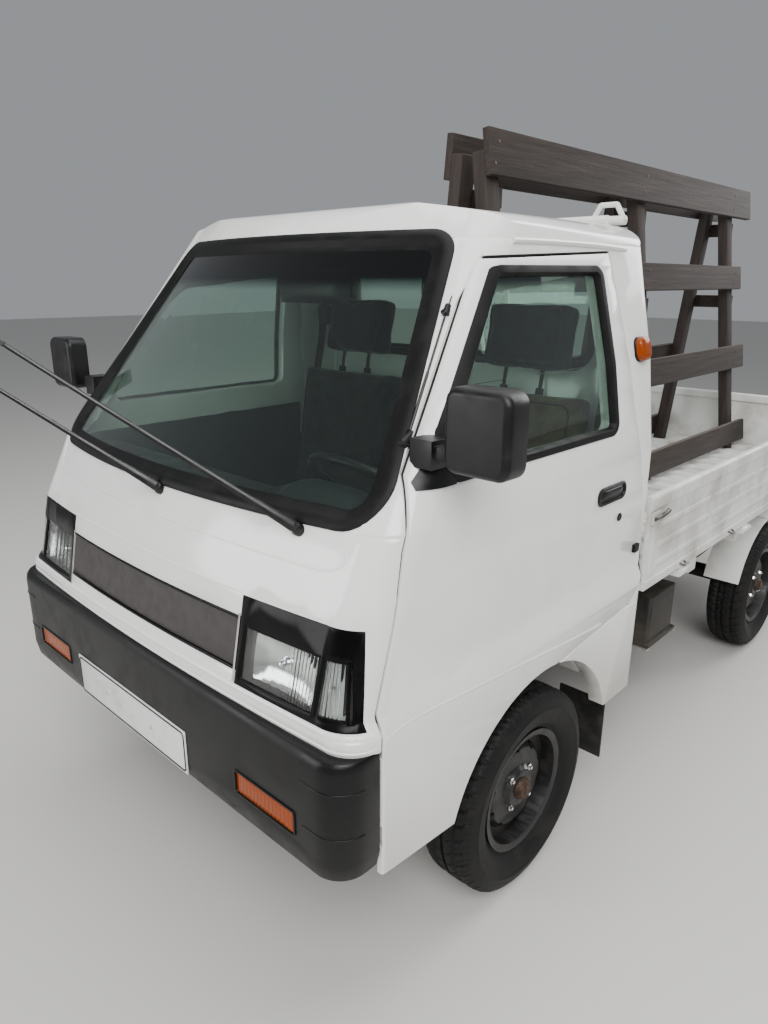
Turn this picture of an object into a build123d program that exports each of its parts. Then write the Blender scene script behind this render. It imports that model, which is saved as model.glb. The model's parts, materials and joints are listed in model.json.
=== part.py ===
from build123d import *
import math
import os

# A cab-over mini truck with a drop-side bed and a wooden A-frame rack standing on the bed.
# Millimetres. +X is the truck's left, +Y its rear, +Z up, and the ground is at Z = 0.
# Lengths along Y are written from the bumper's front face, and every node is moved forward by
# MIDDLE_Y at the end, so that the origin is under the middle of the whole truck.
MIDDLE_Y = 1626

# The bed's ends: its floor stops short of the tailgate
BED_FRONT = 1210
BED_REAR = 3485
BED_END = BED_REAR - 27

# Running gear
WHEELBASE = 1840
FRONT_AXLE_Y = 682
FRONT_TRACK = 1220
REAR_TRACK = 1210
TYRE_RADIUS = 272
TYRE_WIDTH = 155
RIM_RADIUS = 152
RIM_WALL = 5
RIM_WIDTH = 112
HUB_BORE = 22
STUB_CLEARANCE = 0.05
AXLE_Z = TYRE_RADIUS
REAR_AXLE_Y = FRONT_AXLE_Y + WHEELBASE
KINGPIN_X = 545
KINGPIN_RADIUS = 12
STRUT_X = 462
ARM_Z = 205
ARM_THICKNESS = 25

# Frame
RAIL_INNER_X = 320
RAIL_WIDTH = 50
RAIL_BOTTOM = 380
RAIL_DEPTH = 90
RAIL_FRONT_Y = 126
RAIL_REAR_Y = BED_END - 28
RAIL_TOP = RAIL_BOTTOM + RAIL_DEPTH
RAIL_OUTER_X = RAIL_INNER_X + RAIL_WIDTH
CROSS_MEMBER = 60
CROSS_MEMBERS_Y = (RAIL_FRONT_Y, 1400, 2080, 2760, RAIL_REAR_Y - CROSS_MEMBER)
# Towing eyes hang under the first and last cross members, which are as wide as CROSS_MEMBER
TOW_EYES_Y = (RAIL_FRONT_Y + CROSS_MEMBER / 2, RAIL_REAR_Y - CROSS_MEMBER / 2)
TOW_EYE_WIDTH = 20
TOW_EYE_RADIUS = 14
TOW_EYE_DROP = 28
SPRING_HALF = 480
SPRING_END_Z = 352
SPRING_LEAF = 10
ENGINE_HALF = 200
ENGINE_Y = (760, 1130)
ENGINE_Z = (330, 672)

# Boxes hung outside the rails: near and far side, from and to along the truck, low and high
FUEL_TANK = (RAIL_OUTER_X, 620, 1420, 2040, 340, 560)
BATTERY = (420, 630, 1450, 1640, 385, 545)
BATTERY_TRAY = 12
BATTERY_TRAY_EDGE = 10

# Cab
CAB_REAR = 1198
# Wider than the cab, for cuts that run out through its side
CAB_LIMIT = 800
# How far back the front panel reaches, and the height above which it goes past the doors' front seam
PANEL_REACH = 420
PANEL_FOOT_Z = 640
CAB_BOTTOM = 378
SIDE_WALL = 45
FRONT_WALL = 45
REAR_WALL = 35
ROOF_WALL = 32
COWL_Z = 1083
GUTTER_Z = 1606
SEAM = 6
GLASS = 5
ARCH_RADIUS = 358
REAR_HALF = 540
SKIRT_Z = 450
FLOOR_Z = 500
FLOOR_SHEET = 18
FLOOR_HALF = 636
ARCH_INNER_X = 372
ARCH_SHEET = 12
SEAT_BOX_FRONT = 600
SEAT_BOX_Z = 700

# Levels of the cab body, from the sill up to above the roof:
# height, half width at the rear, front at the middle, how far the corner lies behind it, corner radius,
# how much narrower each side is at the front
CAB_LEVELS = (
    (378, 696, 52, 10, 70, 0),
    (690, 696, 26, 18, 70, 0),
    (704, 697, 14, 22, 74, 0),
    (730, 698, 12, 24, 74, 0),
    (758, 686, 16, 26, 100, 0),
    (928, 687, 44, 40, 99, 2),
    (975, 688.5, 59, 48, 99, 3),
    (990, 686.5, 64, 50, 99, 3),
    (1090, 686, 96, 66, 98, 4),
    (1330, 655, 269, 76, 90, 12),
    (1606, 596, 468, 78, 84, 16),
    (1760, 565, 579, 80, 80, 18),
)

# Door outline from the side, as places and heights
DOOR_FRONT_Y = 118
DOOR_LOW_Z = 412
DOOR_SILL_Z = 394
DOOR_KNEE = (118, 770)
DOOR_SHOULDER = (200, 1060)
DOOR_BELT = (251, 1183)
DOOR_TOP_FRONT = (534, 1564)
DOOR_TOP_REAR = (1006, 1586)
DOOR_BELT_REAR = (1085, 1183)
DOOR_REAR = ((1147, 956), (1180, 793), (1180, 705))
DOOR_UNDER = (1120, 664)
ARCH_END_Y = 735
HINGE_X = 684
HINGE_Y = 132
HINGE_HEIGHTS = (500, 700)
HINGE_PIN = 5
HINGE_KNUCKLE = 8
HINGE_LEAF = 28
# The door is a skin on a smaller inner frame, and its front edge is bevelled to swing past the panel
DOOR_SKIN = 12
DOOR_STEP = 8
DOOR_BEVEL = 6

# Windows: corners as place or half width, and height
WINDSCREEN_LOW = (626, 1092)
WINDSCREEN_HIGH = (481, 1614)
WINDSCREEN_CORNER = 62
SIDE_GLASS = ((335, 1168), (982, 1168), (958, 1548), (560, 1543), (335, 1247))
SIDE_GLASS_CORNER = 22
REAR_GLASS_HALF = 485
REAR_GLASS_LOW = 1295
REAR_GLASS_HIGH = 1550
REAR_GLASS_CORNER = 60

# Headlamp openings in the front panel, which reach round the corner to a leaning rear edge
LAMP_INNER_X = 368
LAMP_LOW_Z = 744
LAMP_HIGH_Z = 928
LAMP_BACK_LOW = (91, 751)
LAMP_BACK_HIGH = (114, 928)
LAMP_SPLIT_X = 585
LENS_LOW_Z = 756
LENS_HIGH_Z = 870
LENS_EDGE = 14
BEZEL_DEPTH = 30
GRILLE_LOW_Z = 772
GRILLE_HIGH_Z = 884
GRILLE_DEPTH = 12

# Bumper: a moulded skin, and its levels in the columns of the cab's levels
BUMPER_LOW = 443
BUMPER_HIGH = 702
BUMPER_SKIN = 6
BUMPER_END_Y = 108
BUMPER_LEVELS = (
    (443, 690, 6, 4, 66, 0),
    (480, 698, 0, 4, 70, 0),
    (680, 698, 0, 4, 70, 0),
    (694, 697, 3, 4, 69, 0),
    (702, 694, 9, 5, 64, 0),
)

PLATE_WIDTH = 520
PLATE_HEIGHT = 112
FRONT_PLATE_X = -59

# Door mirror's housing
MIRROR_SIZE = (136, 56, 150)
MIRROR_CENTRE = (780, 272, 1280)

# Driver's place
WHEEL_CENTRE = (330, 500, 1030)
WHEEL_TILT = -38
WHEEL_RADIUS = 185
WHEEL_DISH = 40
SEAT_X = 335
CUSHION_WIDTH = 450
CUSHION_LENGTH = 430
CUSHION_HEIGHT = 115
SEAT_BACK_Y = 936
SEAT_BACK = (440, 90, 430)
SEAT_LEAN = 10
HEADREST = (270, 80, 180)
HEADREST_Z = 575
HEADREST_POST_X = 60
DASH_GAP = 16

# Side marker lamp: from and to along each axis
MARKER_LAMP = (600, 668, 1088, 1148, 1326, 1388)

# Wipers, lifted off the glass
WIPER_PIVOTS = ((464, 128, 1070), (28, 92, 1072))
WIPER_ARM = 440
WIPER_BLADE = 400
WIPER_LIFT = 55
WIPER_UP = 12

# Bed
BED_HALF = 662
BED_SHEET_TOP = 676
BED_SHEET = 16
RIB_HEIGHT = 14
REAR_FLAP_Y = REAR_AXLE_Y + 378
RIB_WIDTH = 46
RIB_PITCH = 160
RIB_COUNT = 14
SILL_HEIGHT = 80
SILL_LOW = BED_SHEET_TOP - BED_SHEET - SILL_HEIGHT
SILL_WIDTH = 60
SILL_SHORT = 6
TAIL_LAMP_HEIGHT = 80
SILLS_Y = (BED_FRONT, 1660, 2100, REAR_AXLE_Y - SILL_WIDTH / 2, REAR_FLAP_Y, BED_END - 75)
# The rear wheel arches reach up to the sills
REAR_ARCH_RADIUS = SILL_LOW - AXLE_Z
REAR_ARCH_WALL = 8
GATE_OUTER = 695
GATE_THICKNESS = 24
GATE_LOW = 668
GATE_HIGH = 950
GATE_HINGE_X = 697
GATE_HINGE_Z = 650
GATE_PIN = 6
GATE_KNUCKLE = 10
GATE_LUG = 50

# Guard on the bed's headboard, with a low hoop on top at each end
GUARD_HALF = 475
GUARD_INNER_X = 160
GUARD_TOP_Z = 1676
GUARD_RAIL_Z = 1240
GUARD_HOOP_Z = 1716
GUARD_HOOP_RADIUS = 7

# Rack: an A-frame of planks
RACK_FLOOR = BED_SHEET_TOP + RIB_HEIGHT
RACK_LEG = (45, 70)
PLANK = 25
RACK_TOP_Z = 1900
# near and far side: top at x, foot at x, outward sign
RACK_SIDES = ((33, 202, 1), (-89, -201, -1))
# legs: place, and height of the rib or sheet they stand on
RACK_LEGS = ((1250, RACK_FLOOR), (2280, RACK_FLOOR), (3275, BED_SHEET_TOP))
RACK_TIES_Z = (1395, 1740)
# planks: height up the leg, depth of plank, from, to
RACK_PLANKS = (
    (700, 106, 1270, 3450),
    (1085, 115, 1270, 3440),
    (1480, 110, 1270, 3400),
    (1825, 135, 1250, 3538),
)


def block(x0, x1, y0, y1, z0, z1):
    """A box between two opposite corners."""
    return Pos((x0 + x1) / 2, (y0 + y1) / 2, (z0 + z1) / 2) * Box(x1 - x0, y1 - y0, z1 - z0)


def rod_x(x0, x1, y, z, radius):
    """A round bar along X."""
    return Pos((x0 + x1) / 2, y, z) * Rot(0, 90, 0) * Cylinder(radius, x1 - x0)


def rod_y(x, y0, y1, z, radius):
    """A round bar along Y."""
    return Pos(x, (y0 + y1) / 2, z) * Rot(90, 0, 0) * Cylinder(radius, y1 - y0)


def rod_z(x, y, z0, z1, radius):
    """A round bar along Z."""
    return Pos(x, y, (z0 + z1) / 2) * Cylinder(radius, z1 - z0)


def side_prism(edges, x0, x1):
    """A side view outline (place, height) carried across the truck from x0 to x1."""
    face = Plane.YZ * make_face(edges)
    return Pos(x0, 0, 0) * extrude(face, x1 - x0)


def front_prism(edges, y0, y1):
    """A front view outline (across, height) carried along the truck from y0 to y1."""
    face = Plane.XZ * make_face(edges)
    return Pos(0, y1, 0) * extrude(face, y1 - y0)


def mirrored(shape):
    """The same shape on the right-hand side."""
    return mirror(shape, Plane.YZ)


def solids_of(*shapes):
    """All the separate solids in the shapes given."""
    found = []
    for shape in shapes:
        found += list(shape.solids())
    return found


def save(node, *shapes):
    """Writes one node, moved so that the origin is under the truck's middle."""
    moved = [Pos(0, -MIDDLE_Y, 0) * solid for solid in solids_of(*shapes)]
    export_step(moved[0] if len(moved) == 1 else Compound(moved), f"parts/{node}.step")


# Cab body form


def cab_section(level, side, front, rear):
    """The cab's outline at one height, moved inwards by the walls given."""
    height, half, nose, bow, corner, taper = level
    half -= side
    front_half = half - taper
    nose += front
    corner = corner - side * 0.6
    back = CAB_REAR - rear
    shoulder = front_half - corner
    cheek = nose + bow
    knee = corner * (1 - math.sqrt(0.5))
    round_off = 30
    bend = round_off * (1 - math.sqrt(0.5))
    edges = [ThreePointArc((-shoulder, cheek), (0, nose), (shoulder, cheek))]
    for s in (1, -1):
        edges += [
            ThreePointArc(
                (s * shoulder, cheek), (s * (front_half - knee), cheek + knee), (s * front_half, cheek + corner)
            ),
            Line((s * front_half, cheek + corner), (s * half, back - round_off)),
            ThreePointArc(
                (s * half, back - round_off), (s * (half - bend), back - bend), (s * (half - round_off), back)
            ),
        ]
    edges.append(Line((half - round_off, back), (round_off - half, back)))
    return Pos(0, 0, height) * make_face(edges)


def roof_trim(lower):
    """The space under the roof's crown, lowered by the thickness given, in front view and side view.

    Below the gutter it is wider and longer than the cab, so that only the roof is trimmed.
    """
    across = [
        Line((-760, 300), (760, 300)),
        Line((760, 300), (760, 1562 - lower)),
        Line((760, 1562 - lower), (609 - lower, 1562 - lower)),
        ThreePointArc((609 - lower, 1562 - lower), (578 - lower, 1632 - lower), (516 - lower, 1660 - lower)),
        ThreePointArc((516 - lower, 1660 - lower), (0, 1706 - lower), (lower - 516, 1660 - lower)),
        ThreePointArc((lower - 516, 1660 - lower), (lower - 578, 1632 - lower), (lower - 609, 1562 - lower)),
        Line((lower - 609, 1562 - lower), (-760, 1562 - lower)),
        Line((-760, 1562 - lower), (-760, 300)),
    ]
    along = [
        Line((-200, 300), (1260, 300)),
        Line((1260, 300), (1260, 1600 - lower)),
        Line((1260, 1600 - lower), (CAB_REAR, 1600 - lower)),
        ThreePointArc((CAB_REAR, 1600 - lower), (1172, 1664 - lower), (1110, 1692 - lower)),
        ThreePointArc((1110, 1692 - lower), (860, 1707 - lower), (600, 1688 - lower)),
        ThreePointArc((600, 1688 - lower), (520, 1660 - lower), (466, 1604 - lower)),
        Line((466, 1604 - lower), (-200, 1000)),
        Line((-200, 1000), (-200, 300)),
    ]
    return front_prism(across, -300, 1400) & side_prism(along, -800, 800)


def cab_form(side=0, front=0, rear=0, roof=0):
    """The solid form of the cab, moved inwards by the wall thicknesses given."""
    sections = [cab_section(level, side, front, rear) for level in CAB_LEVELS]
    return loft(sections, ruled=True) & roof_trim(roof)


def rounded(points, radius):
    """A closed outline through the points, its corners rounded."""
    face = make_face(Polyline(*points, close=True))
    return fillet(face.vertices(), radius)


def windscreen_cut(margin):
    """The windscreen's outline carried back through the front wall, margin added all round."""
    low_x, low_z = WINDSCREEN_LOW
    high_x, high_z = WINDSCREEN_HIGH
    points = (
        (-low_x - margin, low_z - margin), (low_x + margin, low_z - margin),
        (high_x + margin, high_z + margin), (-high_x - margin, high_z + margin),
    )
    face = Plane.XZ * rounded(points, WINDSCREEN_CORNER + margin)
    return Pos(0, 760, 0) * extrude(face, 1000)


def rear_glass_cut(margin):
    """The rear window's outline carried through the rear wall."""
    half = REAR_GLASS_HALF + margin
    points = (
        (-half, REAR_GLASS_LOW - margin), (half, REAR_GLASS_LOW - margin),
        (half, REAR_GLASS_HIGH + margin), (-half, REAR_GLASS_HIGH + margin),
    )
    face = Plane.XZ * rounded(points, REAR_GLASS_CORNER + margin)
    return Pos(0, CAB_REAR + 50, 0) * extrude(face, 150)


def door_outline(gap):
    """The door's outline from the side, grown by the gap given."""
    arch = ARCH_RADIUS - gap
    sill = DOOR_SILL_Z - gap
    start = FRONT_AXLE_Y - math.sqrt(arch ** 2 - (sill - AXLE_Z) ** 2)
    end_z = AXLE_Z + math.sqrt(arch ** 2 - (ARCH_END_Y - FRONT_AXLE_Y) ** 2)
    middle = (FRONT_AXLE_Y - arch * math.sin(math.radians(40)), AXLE_Z + arch * math.cos(math.radians(40)))
    points = [
        (ARCH_END_Y, end_z), (DOOR_UNDER[0], DOOR_UNDER[1] - gap),
        (DOOR_REAR[2][0] + gap, DOOR_REAR[2][1] - gap * 0.4),
        (DOOR_REAR[1][0] + gap, DOOR_REAR[1][1]), (DOOR_REAR[0][0] + gap, DOOR_REAR[0][1]),
        (DOOR_BELT_REAR[0] + gap, DOOR_BELT_REAR[1]), (DOOR_TOP_REAR[0] + gap, DOOR_TOP_REAR[1] + gap),
        (DOOR_TOP_FRONT[0] - gap * 0.6, DOOR_TOP_FRONT[1] + gap), (DOOR_BELT[0] - gap, DOOR_BELT[1] + gap * 0.4),
        (DOOR_SHOULDER[0] - gap, DOOR_SHOULDER[1]), (DOOR_KNEE[0] - gap, DOOR_KNEE[1]),
        (DOOR_FRONT_Y - gap, DOOR_LOW_Z - gap), (start, sill),
    ]
    edges = [Line(a, b) for a, b in zip(points, points[1:])]
    edges.append(ThreePointArc((start, sill), middle, (ARCH_END_Y, end_z)))
    return edges


def side_glass_cut(margin):
    """The door window's outline, carried out through the door."""
    face = rounded(SIDE_GLASS, SIDE_GLASS_CORNER)
    if margin:
        face = offset(face, margin)
    return Pos(450, 0, 0) * extrude(Plane.YZ * face, 350)


def hinge_pocket(z, reach):
    """The room in the door's front edge where a hinge leaf turns."""
    return block(HINGE_X - 45, HINGE_X + HINGE_KNUCKLE + 1, HINGE_Y - 32, HINGE_Y + 18, z - reach, z + reach)


cab_outer = cab_form()
cab_inner = cab_form(SIDE_WALL, FRONT_WALL, REAR_WALL, ROOF_WALL)
cab_shell = cab_outer - cab_inner
arch_space = rod_x(370, 760, FRONT_AXLE_Y, AXLE_Z, ARCH_RADIUS)
arch_space = arch_space + mirrored(arch_space)
door_hole = side_prism(door_outline(SEAM), 560, 800)
door_hole = door_hole + mirrored(door_hole)
cab_walls = cab_shell - arch_space - door_hole - windscreen_cut(0) - rear_glass_cut(0)


def lamp_room(x0, x1, low, high, gap=0):
    """Room for a lamp on the left side, its back along the opening's leaning rear edge."""
    slope = (LAMP_BACK_HIGH[0] - LAMP_BACK_LOW[0]) / (LAMP_BACK_HIGH[1] - LAMP_BACK_LOW[1])
    back = LAMP_BACK_LOW[0] - gap
    points = (
        (-50, low), (back + slope * (low - LAMP_BACK_LOW[1]), low),
        (back + slope * (high - LAMP_BACK_LOW[1]), high), (-50, high),
    )
    return side_prism(Polyline(*points, close=True), x0, x1)


def front_panel():
    """The pressed front below the windscreen, with the lamp openings and the grille's recess."""
    panel = cab_walls & block(-CAB_LIMIT, CAB_LIMIT, -PANEL_REACH, PANEL_REACH, SKIRT_Z, COWL_Z)
    panel = panel - block(-CAB_LIMIT, CAB_LIMIT, DOOR_FRONT_Y - SEAM, PANEL_REACH, 0, PANEL_FOOT_Z)
    lamp = lamp_room(LAMP_INNER_X, CAB_LIMIT, LAMP_LOW_Z, LAMP_HIGH_Z)
    panel = panel - lamp - mirrored(lamp)
    recess = cab_outer - cab_form(0, GRILLE_DEPTH)
    recess = recess & block(-LAMP_INNER_X, LAMP_INNER_X, -100, 300, GRILLE_LOW_Z, GRILLE_HIGH_Z)
    panel = panel - recess - (bumper_form(-1) - bumper_form(BUMPER_SKIN + 1))
    for s in (1, -1):
        for z in HINGE_HEIGHTS:
            low = z - HINGE_LEAF / 2
            high = z + HINGE_LEAF / 2
            leaf = block(HINGE_X - 29, HINGE_X - 21, 90, HINGE_Y + 4, low, high)
            leaf += block(HINGE_X - 29, HINGE_X, HINGE_Y - 4, HINGE_Y + 4, low, high)
            leaf += rod_z(HINGE_X, HINGE_Y, low, high, HINGE_KNUCKLE)
            leaf -= rod_z(HINGE_X, HINGE_Y, low - 9, high + 9, HINGE_PIN + STUB_CLEARANCE)
            panel += leaf if s > 0 else mirrored(leaf)
    return max(panel.solids(), key=lambda solid: solid.volume), recess


def cab_sides():
    """Each side's pillars, roof rail and the sill behind the wheel arch."""
    upper = cab_walls & block(-CAB_LIMIT, CAB_LIMIT, -100, 1400, COWL_Z, GUTTER_Z)
    upper = upper - block(-REAR_HALF, REAR_HALF, 900, 1400, COWL_Z, GUTTER_Z)
    lower = cab_walls & block(-CAB_LIMIT, CAB_LIMIT, 420, 1400, CAB_BOTTOM, COWL_Z)
    lower = lower - block(-REAR_HALF, REAR_HALF, 420, 1400, CAB_BOTTOM, COWL_Z)
    sides = upper + lower
    left = sides & block(0, 900, -100, 1400, 0, 2000)
    right = sides & block(-900, 0, -100, 1400, 0, 2000)
    return left, right


def rear_wall():
    """The wall behind the seats, with the rear window's opening."""
    return cab_walls & block(-REAR_HALF, REAR_HALF, 900, 1400, FLOOR_Z, GUTTER_Z)


def roof():
    """The roof with its header, down to the gutters."""
    return cab_walls & block(-CAB_LIMIT, CAB_LIMIT, -100, 1400, GUTTER_Z, 1900)


def cab_glass():
    """The windscreen, curved as the front is, and the flat rear window."""
    skin = cab_form(6, 8, 12, 6) - cab_form(6 + GLASS, 8 + GLASS * 1.2, 12 + GLASS, 6 + GLASS)
    screen = (skin & windscreen_cut(-0.3)) & block(-CAB_LIMIT, CAB_LIMIT, -100, 760, COWL_Z, 1700)
    back = rear_glass_cut(-0.3) & block(-CAB_LIMIT, CAB_LIMIT, CAB_REAR - 20, CAB_REAR - 20 + GLASS, 1000, 1700)
    return screen - door_hole, back


def left_door():
    """The door: a skin on a smaller inner frame, its window cut, and pockets for its two hinges."""
    middle = cab_form(DOOR_SKIN, DOOR_SKIN, DOOR_SKIN, DOOR_SKIN)
    body = (cab_outer - middle) & side_prism(door_outline(0), 560, 800)
    body += (middle - cab_inner) & side_prism(door_outline(-DOOR_STEP), 560, 800)
    body = body - side_glass_cut(0)
    edge = Rot(0, 0, 45) * Box(DOOR_BEVEL * math.sqrt(2), DOOR_BEVEL * math.sqrt(2), 800)
    body -= Pos(698, DOOR_FRONT_Y, 345) * edge
    for z in HINGE_HEIGHTS:
        body -= hinge_pocket(z, 24)
        body += rod_z(HINGE_X, HINGE_Y, z - 30, z + 30, HINGE_PIN)
    return body


def left_door_glass():
    """The side window, standing in the door's frame."""
    skin = cab_form(14) - cab_form(14 + GLASS)
    return (skin & side_glass_cut(-0.3)) & block(500, 800, 0, 1100, 1100, 1600)


def left_door_mirror():
    """The mirror: a foot on the window's front corner, an arm and a deep rounded housing."""
    shell = fillet(Box(*MIRROR_SIZE).edges().filter_by(Axis.Y), 26)
    shell = Pos(*MIRROR_CENTRE) * fillet(shell.faces().sort_by(Axis.Y)[0].edges(), 14)
    arm = block(660, 725, 274, 296, 1216, 1240)
    foot = block(620, 672, 266, 322, 1196, 1250)
    return (shell + arm + foot) - cab_outer


def bumper_form(inset):
    """The bumper's outline lofted up through its levels."""
    sections = [cab_section(level, inset, inset, 0) for level in BUMPER_LEVELS]
    return loft(sections, ruled=True)


def front_bumper():
    """A moulded cover that wraps round to the doors, with two lamp holes."""
    cover = bumper_form(0) - bumper_form(BUMPER_SKIN)
    lid = bumper_form(0) & block(-CAB_LIMIT, CAB_LIMIT, -50, 300, BUMPER_HIGH - BUMPER_SKIN, BUMPER_HIGH)
    cover = cover + (lid - cab_outer)
    cover = cover & block(-CAB_LIMIT, CAB_LIMIT, -50, BUMPER_END_Y, BUMPER_LOW, BUMPER_HIGH)
    for s in (1, -1):
        stay = block(RAIL_INNER_X, RAIL_OUTER_X, BUMPER_SKIN - 1, RAIL_FRONT_Y, 455, 470)
        cover += (stay if s > 0 else mirrored(stay)) - cab_outer
        hole = bumper_lamp_space(0)
        cover -= hole if s > 0 else mirrored(hole)
    return cover


def bumper_lamp_space(margin):
    """The recess of the left bumper lamp."""
    return block(384 + margin, 572 - margin, -20, 30, 505 + margin, 558 - margin)


def headlamps():
    """Bezel, main lens and corner lens on the left side."""
    gap = 0.3
    room = lamp_room(LAMP_INNER_X + gap, CAB_LIMIT, LAMP_LOW_Z + gap, LAMP_HIGH_Z - gap, gap)
    body = (cab_outer & room) - cab_form(BEZEL_DEPTH, BEZEL_DEPTH)
    lens_room = lamp_room(LAMP_INNER_X + LENS_EDGE, LAMP_SPLIT_X, LENS_LOW_Z, LENS_HIGH_Z, LENS_EDGE)
    corner_room = lamp_room(LAMP_SPLIT_X + 6, CAB_LIMIT, LENS_LOW_Z, LENS_HIGH_Z, LENS_EDGE)
    bezel = body - lens_room - corner_room
    skin = cab_form(3, 3) - cab_form(16, 16)
    return bezel, skin & lens_room, skin & corner_room


def number_plates():
    """Blank plates: the front one on the bumper, the rear one on the last sill."""
    half = PLATE_WIDTH / 2
    front = block(FRONT_PLATE_X - half, FRONT_PLATE_X + half, -3, 0, 450, 450 + PLATE_HEIGHT)
    sill_end = SILLS_Y[-1] + SILL_WIDTH
    rear = block(-half, half, sill_end, sill_end + 3, 505, 505 + PLATE_HEIGHT)
    return front, rear


# Inside the cab


def floor_pan():
    """The floor with its foot well and seat box, and the left arch over the front wheel."""
    skin = FLOOR_SHEET
    pan = block(-FLOOR_HALF, FLOOR_HALF, 60, SEAT_BOX_FRONT, FLOOR_Z - skin, FLOOR_Z)
    pan += block(-FLOOR_HALF, FLOOR_HALF, SEAT_BOX_FRONT - skin, SEAT_BOX_FRONT, FLOOR_Z - skin, SEAT_BOX_Z)
    pan += block(-FLOOR_HALF, FLOOR_HALF, SEAT_BOX_FRONT, CAB_REAR - REAR_WALL, SEAT_BOX_Z - skin, SEAT_BOX_Z)
    pan += block(-560, 560, CAB_REAR - REAR_WALL - skin, CAB_REAR - REAR_WALL, FLOOR_Z, SEAT_BOX_Z)
    space = rod_x(ARCH_INNER_X - ARCH_SHEET, FLOOR_HALF, FRONT_AXLE_Y, AXLE_Z, ARCH_RADIUS + ARCH_SHEET)
    hollow = rod_x(ARCH_INNER_X, CAB_LIMIT, FRONT_AXLE_Y, AXLE_Z, ARCH_RADIUS)
    inside = cab_form(SIDE_WALL + SEAM, FRONT_WALL, REAR_WALL)
    arch = (space - hollow) & block(0, CAB_LIMIT, 0, CAB_REAR, FLOOR_Z - skin, SEAT_BOX_Z) & inside
    return (pan - space - mirrored(space)) & inside, arch


def dashboard():
    """The padded dashboard under the windscreen, with the steering column."""
    outline = [(60, 1072), (60, 800), (300, 790), (385, 850), (400, 1010), (330, 1050), (170, 1078)]
    body = side_prism([Line(a, b) for a, b in zip(outline, outline[1:] + outline[:1])], -630, 630)
    body = body & cab_form(SIDE_WALL + DASH_GAP, FRONT_WALL, REAR_WALL)
    tube = Pos(*WHEEL_CENTRE) * Rot(WHEEL_TILT, 0, 0) * Pos(0, 0, -150 - WHEEL_DISH) * Cylinder(24, 300)
    return body + tube


def steering_wheel():
    """A thin rim on two spokes and a boss, turned to the driver."""
    rim = Torus(WHEEL_RADIUS, 12)
    boss = Pos(0, 0, -WHEEL_DISH / 2) * Cylinder(44, WHEEL_DISH - 1)
    spokes = Pos(0, 0, -14) * Box(2 * WHEEL_RADIUS - 6, 34, 12)
    lower = Pos(0, 0, -14) * Pos(0, WHEEL_RADIUS / 2, 0) * Box(34, WHEEL_RADIUS - 6, 12)
    return Pos(*WHEEL_CENTRE) * Rot(WHEEL_TILT, 0, 0) * (rim + boss + spokes + lower)


def seat_cushions():
    """The two seat cushions on the seat box."""
    half = CUSHION_WIDTH / 2
    front = SEAT_BOX_FRONT + 10
    form = block(SEAT_X - half, SEAT_X + half, front, front + CUSHION_LENGTH, SEAT_BOX_Z, SEAT_BOX_Z + CUSHION_HEIGHT)
    cushion = fillet(form.edges(), 30)
    return cushion, mirrored(cushion)


def seat_backs():
    """The two backrests with their headrests on posts, leaning back."""
    foot = (SEAT_X, SEAT_BACK_Y, SEAT_BOX_Z + CUSHION_HEIGHT + 1)
    back = fillet((Pos(0, 50, SEAT_BACK[2] / 2) * Box(*SEAT_BACK)).edges(), 28)
    head = fillet((Pos(0, 55, HEADREST_Z) * Box(*HEADREST)).edges(), 26)
    post = rod_z(HEADREST_POST_X, 52, SEAT_BACK[2] - 10, HEADREST_Z - 75, 6)
    seat = Pos(*foot) * Rot(-SEAT_LEAN, 0, 0) * (back + head + post + mirrored(post))
    seat = seat - block(-CAB_LIMIT, CAB_LIMIT, 0, 1400, 0, SEAT_BOX_Z + CUSHION_HEIGHT + 0.3)
    return seat, mirrored(seat)


# Frame and running gear


def chassis():
    """Two box rails joined by cross members, with the engine's mounts and the front suspension beam."""
    rail = block(RAIL_INNER_X, RAIL_OUTER_X, RAIL_FRONT_Y, RAIL_REAR_Y, RAIL_BOTTOM, RAIL_TOP)
    frame = rail + mirrored(rail)
    for y in CROSS_MEMBERS_Y:
        frame += block(-RAIL_INNER_X, RAIL_INNER_X, y, y + CROSS_MEMBER, RAIL_BOTTOM, RAIL_TOP - 20)
    frame += block(-RAIL_INNER_X, RAIL_INNER_X, 640, 724, ARM_Z + ARM_THICKNESS, RAIL_TOP - 60)
    mount = block(ENGINE_HALF, RAIL_INNER_X, 930, 990, 400, 440)
    frame += mount + mirrored(mount)
    stand = block(RAIL_INNER_X, RAIL_OUTER_X, 300, 360, RAIL_TOP, FLOOR_Z - FLOOR_SHEET)
    frame += stand + mirrored(stand)
    for y in TOW_EYES_Y:
        side = TOW_EYE_WIDTH / 2
        eye = block(-side, side, y - TOW_EYE_DROP, y + TOW_EYE_DROP, RAIL_BOTTOM - 2 * TOW_EYE_DROP, RAIL_BOTTOM)
        frame += eye - rod_x(-50, 50, y, RAIL_BOTTOM - TOW_EYE_DROP, TOW_EYE_RADIUS)
    return frame


def front_suspension():
    """Lower arms and struts, each side one welded piece."""
    arm = block(200, KINGPIN_X, 650, 714, ARM_Z, ARM_Z + ARM_THICKNESS)
    arm += rod_z(KINGPIN_X, FRONT_AXLE_Y, ARM_Z, ARM_Z + ARM_THICKNESS, 28)
    arm += rod_z(KINGPIN_X, FRONT_AXLE_Y, ARM_Z + 2, ARM_Z + 70, KINGPIN_RADIUS)
    strut = rod_z(STRUT_X, FRONT_AXLE_Y, ARM_Z + 10, AXLE_Z + ARCH_RADIUS + 4, 22)
    strut += rod_z(STRUT_X, FRONT_AXLE_Y, 420, 580, 38)
    strut -= rod_x(372, 700, FRONT_AXLE_Y, AXLE_Z, 2 * ARCH_RADIUS) - rod_x(370, 702, FRONT_AXLE_Y, AXLE_Z, ARCH_RADIUS)
    piece = arm + strut
    return piece, mirrored(piece)


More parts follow.
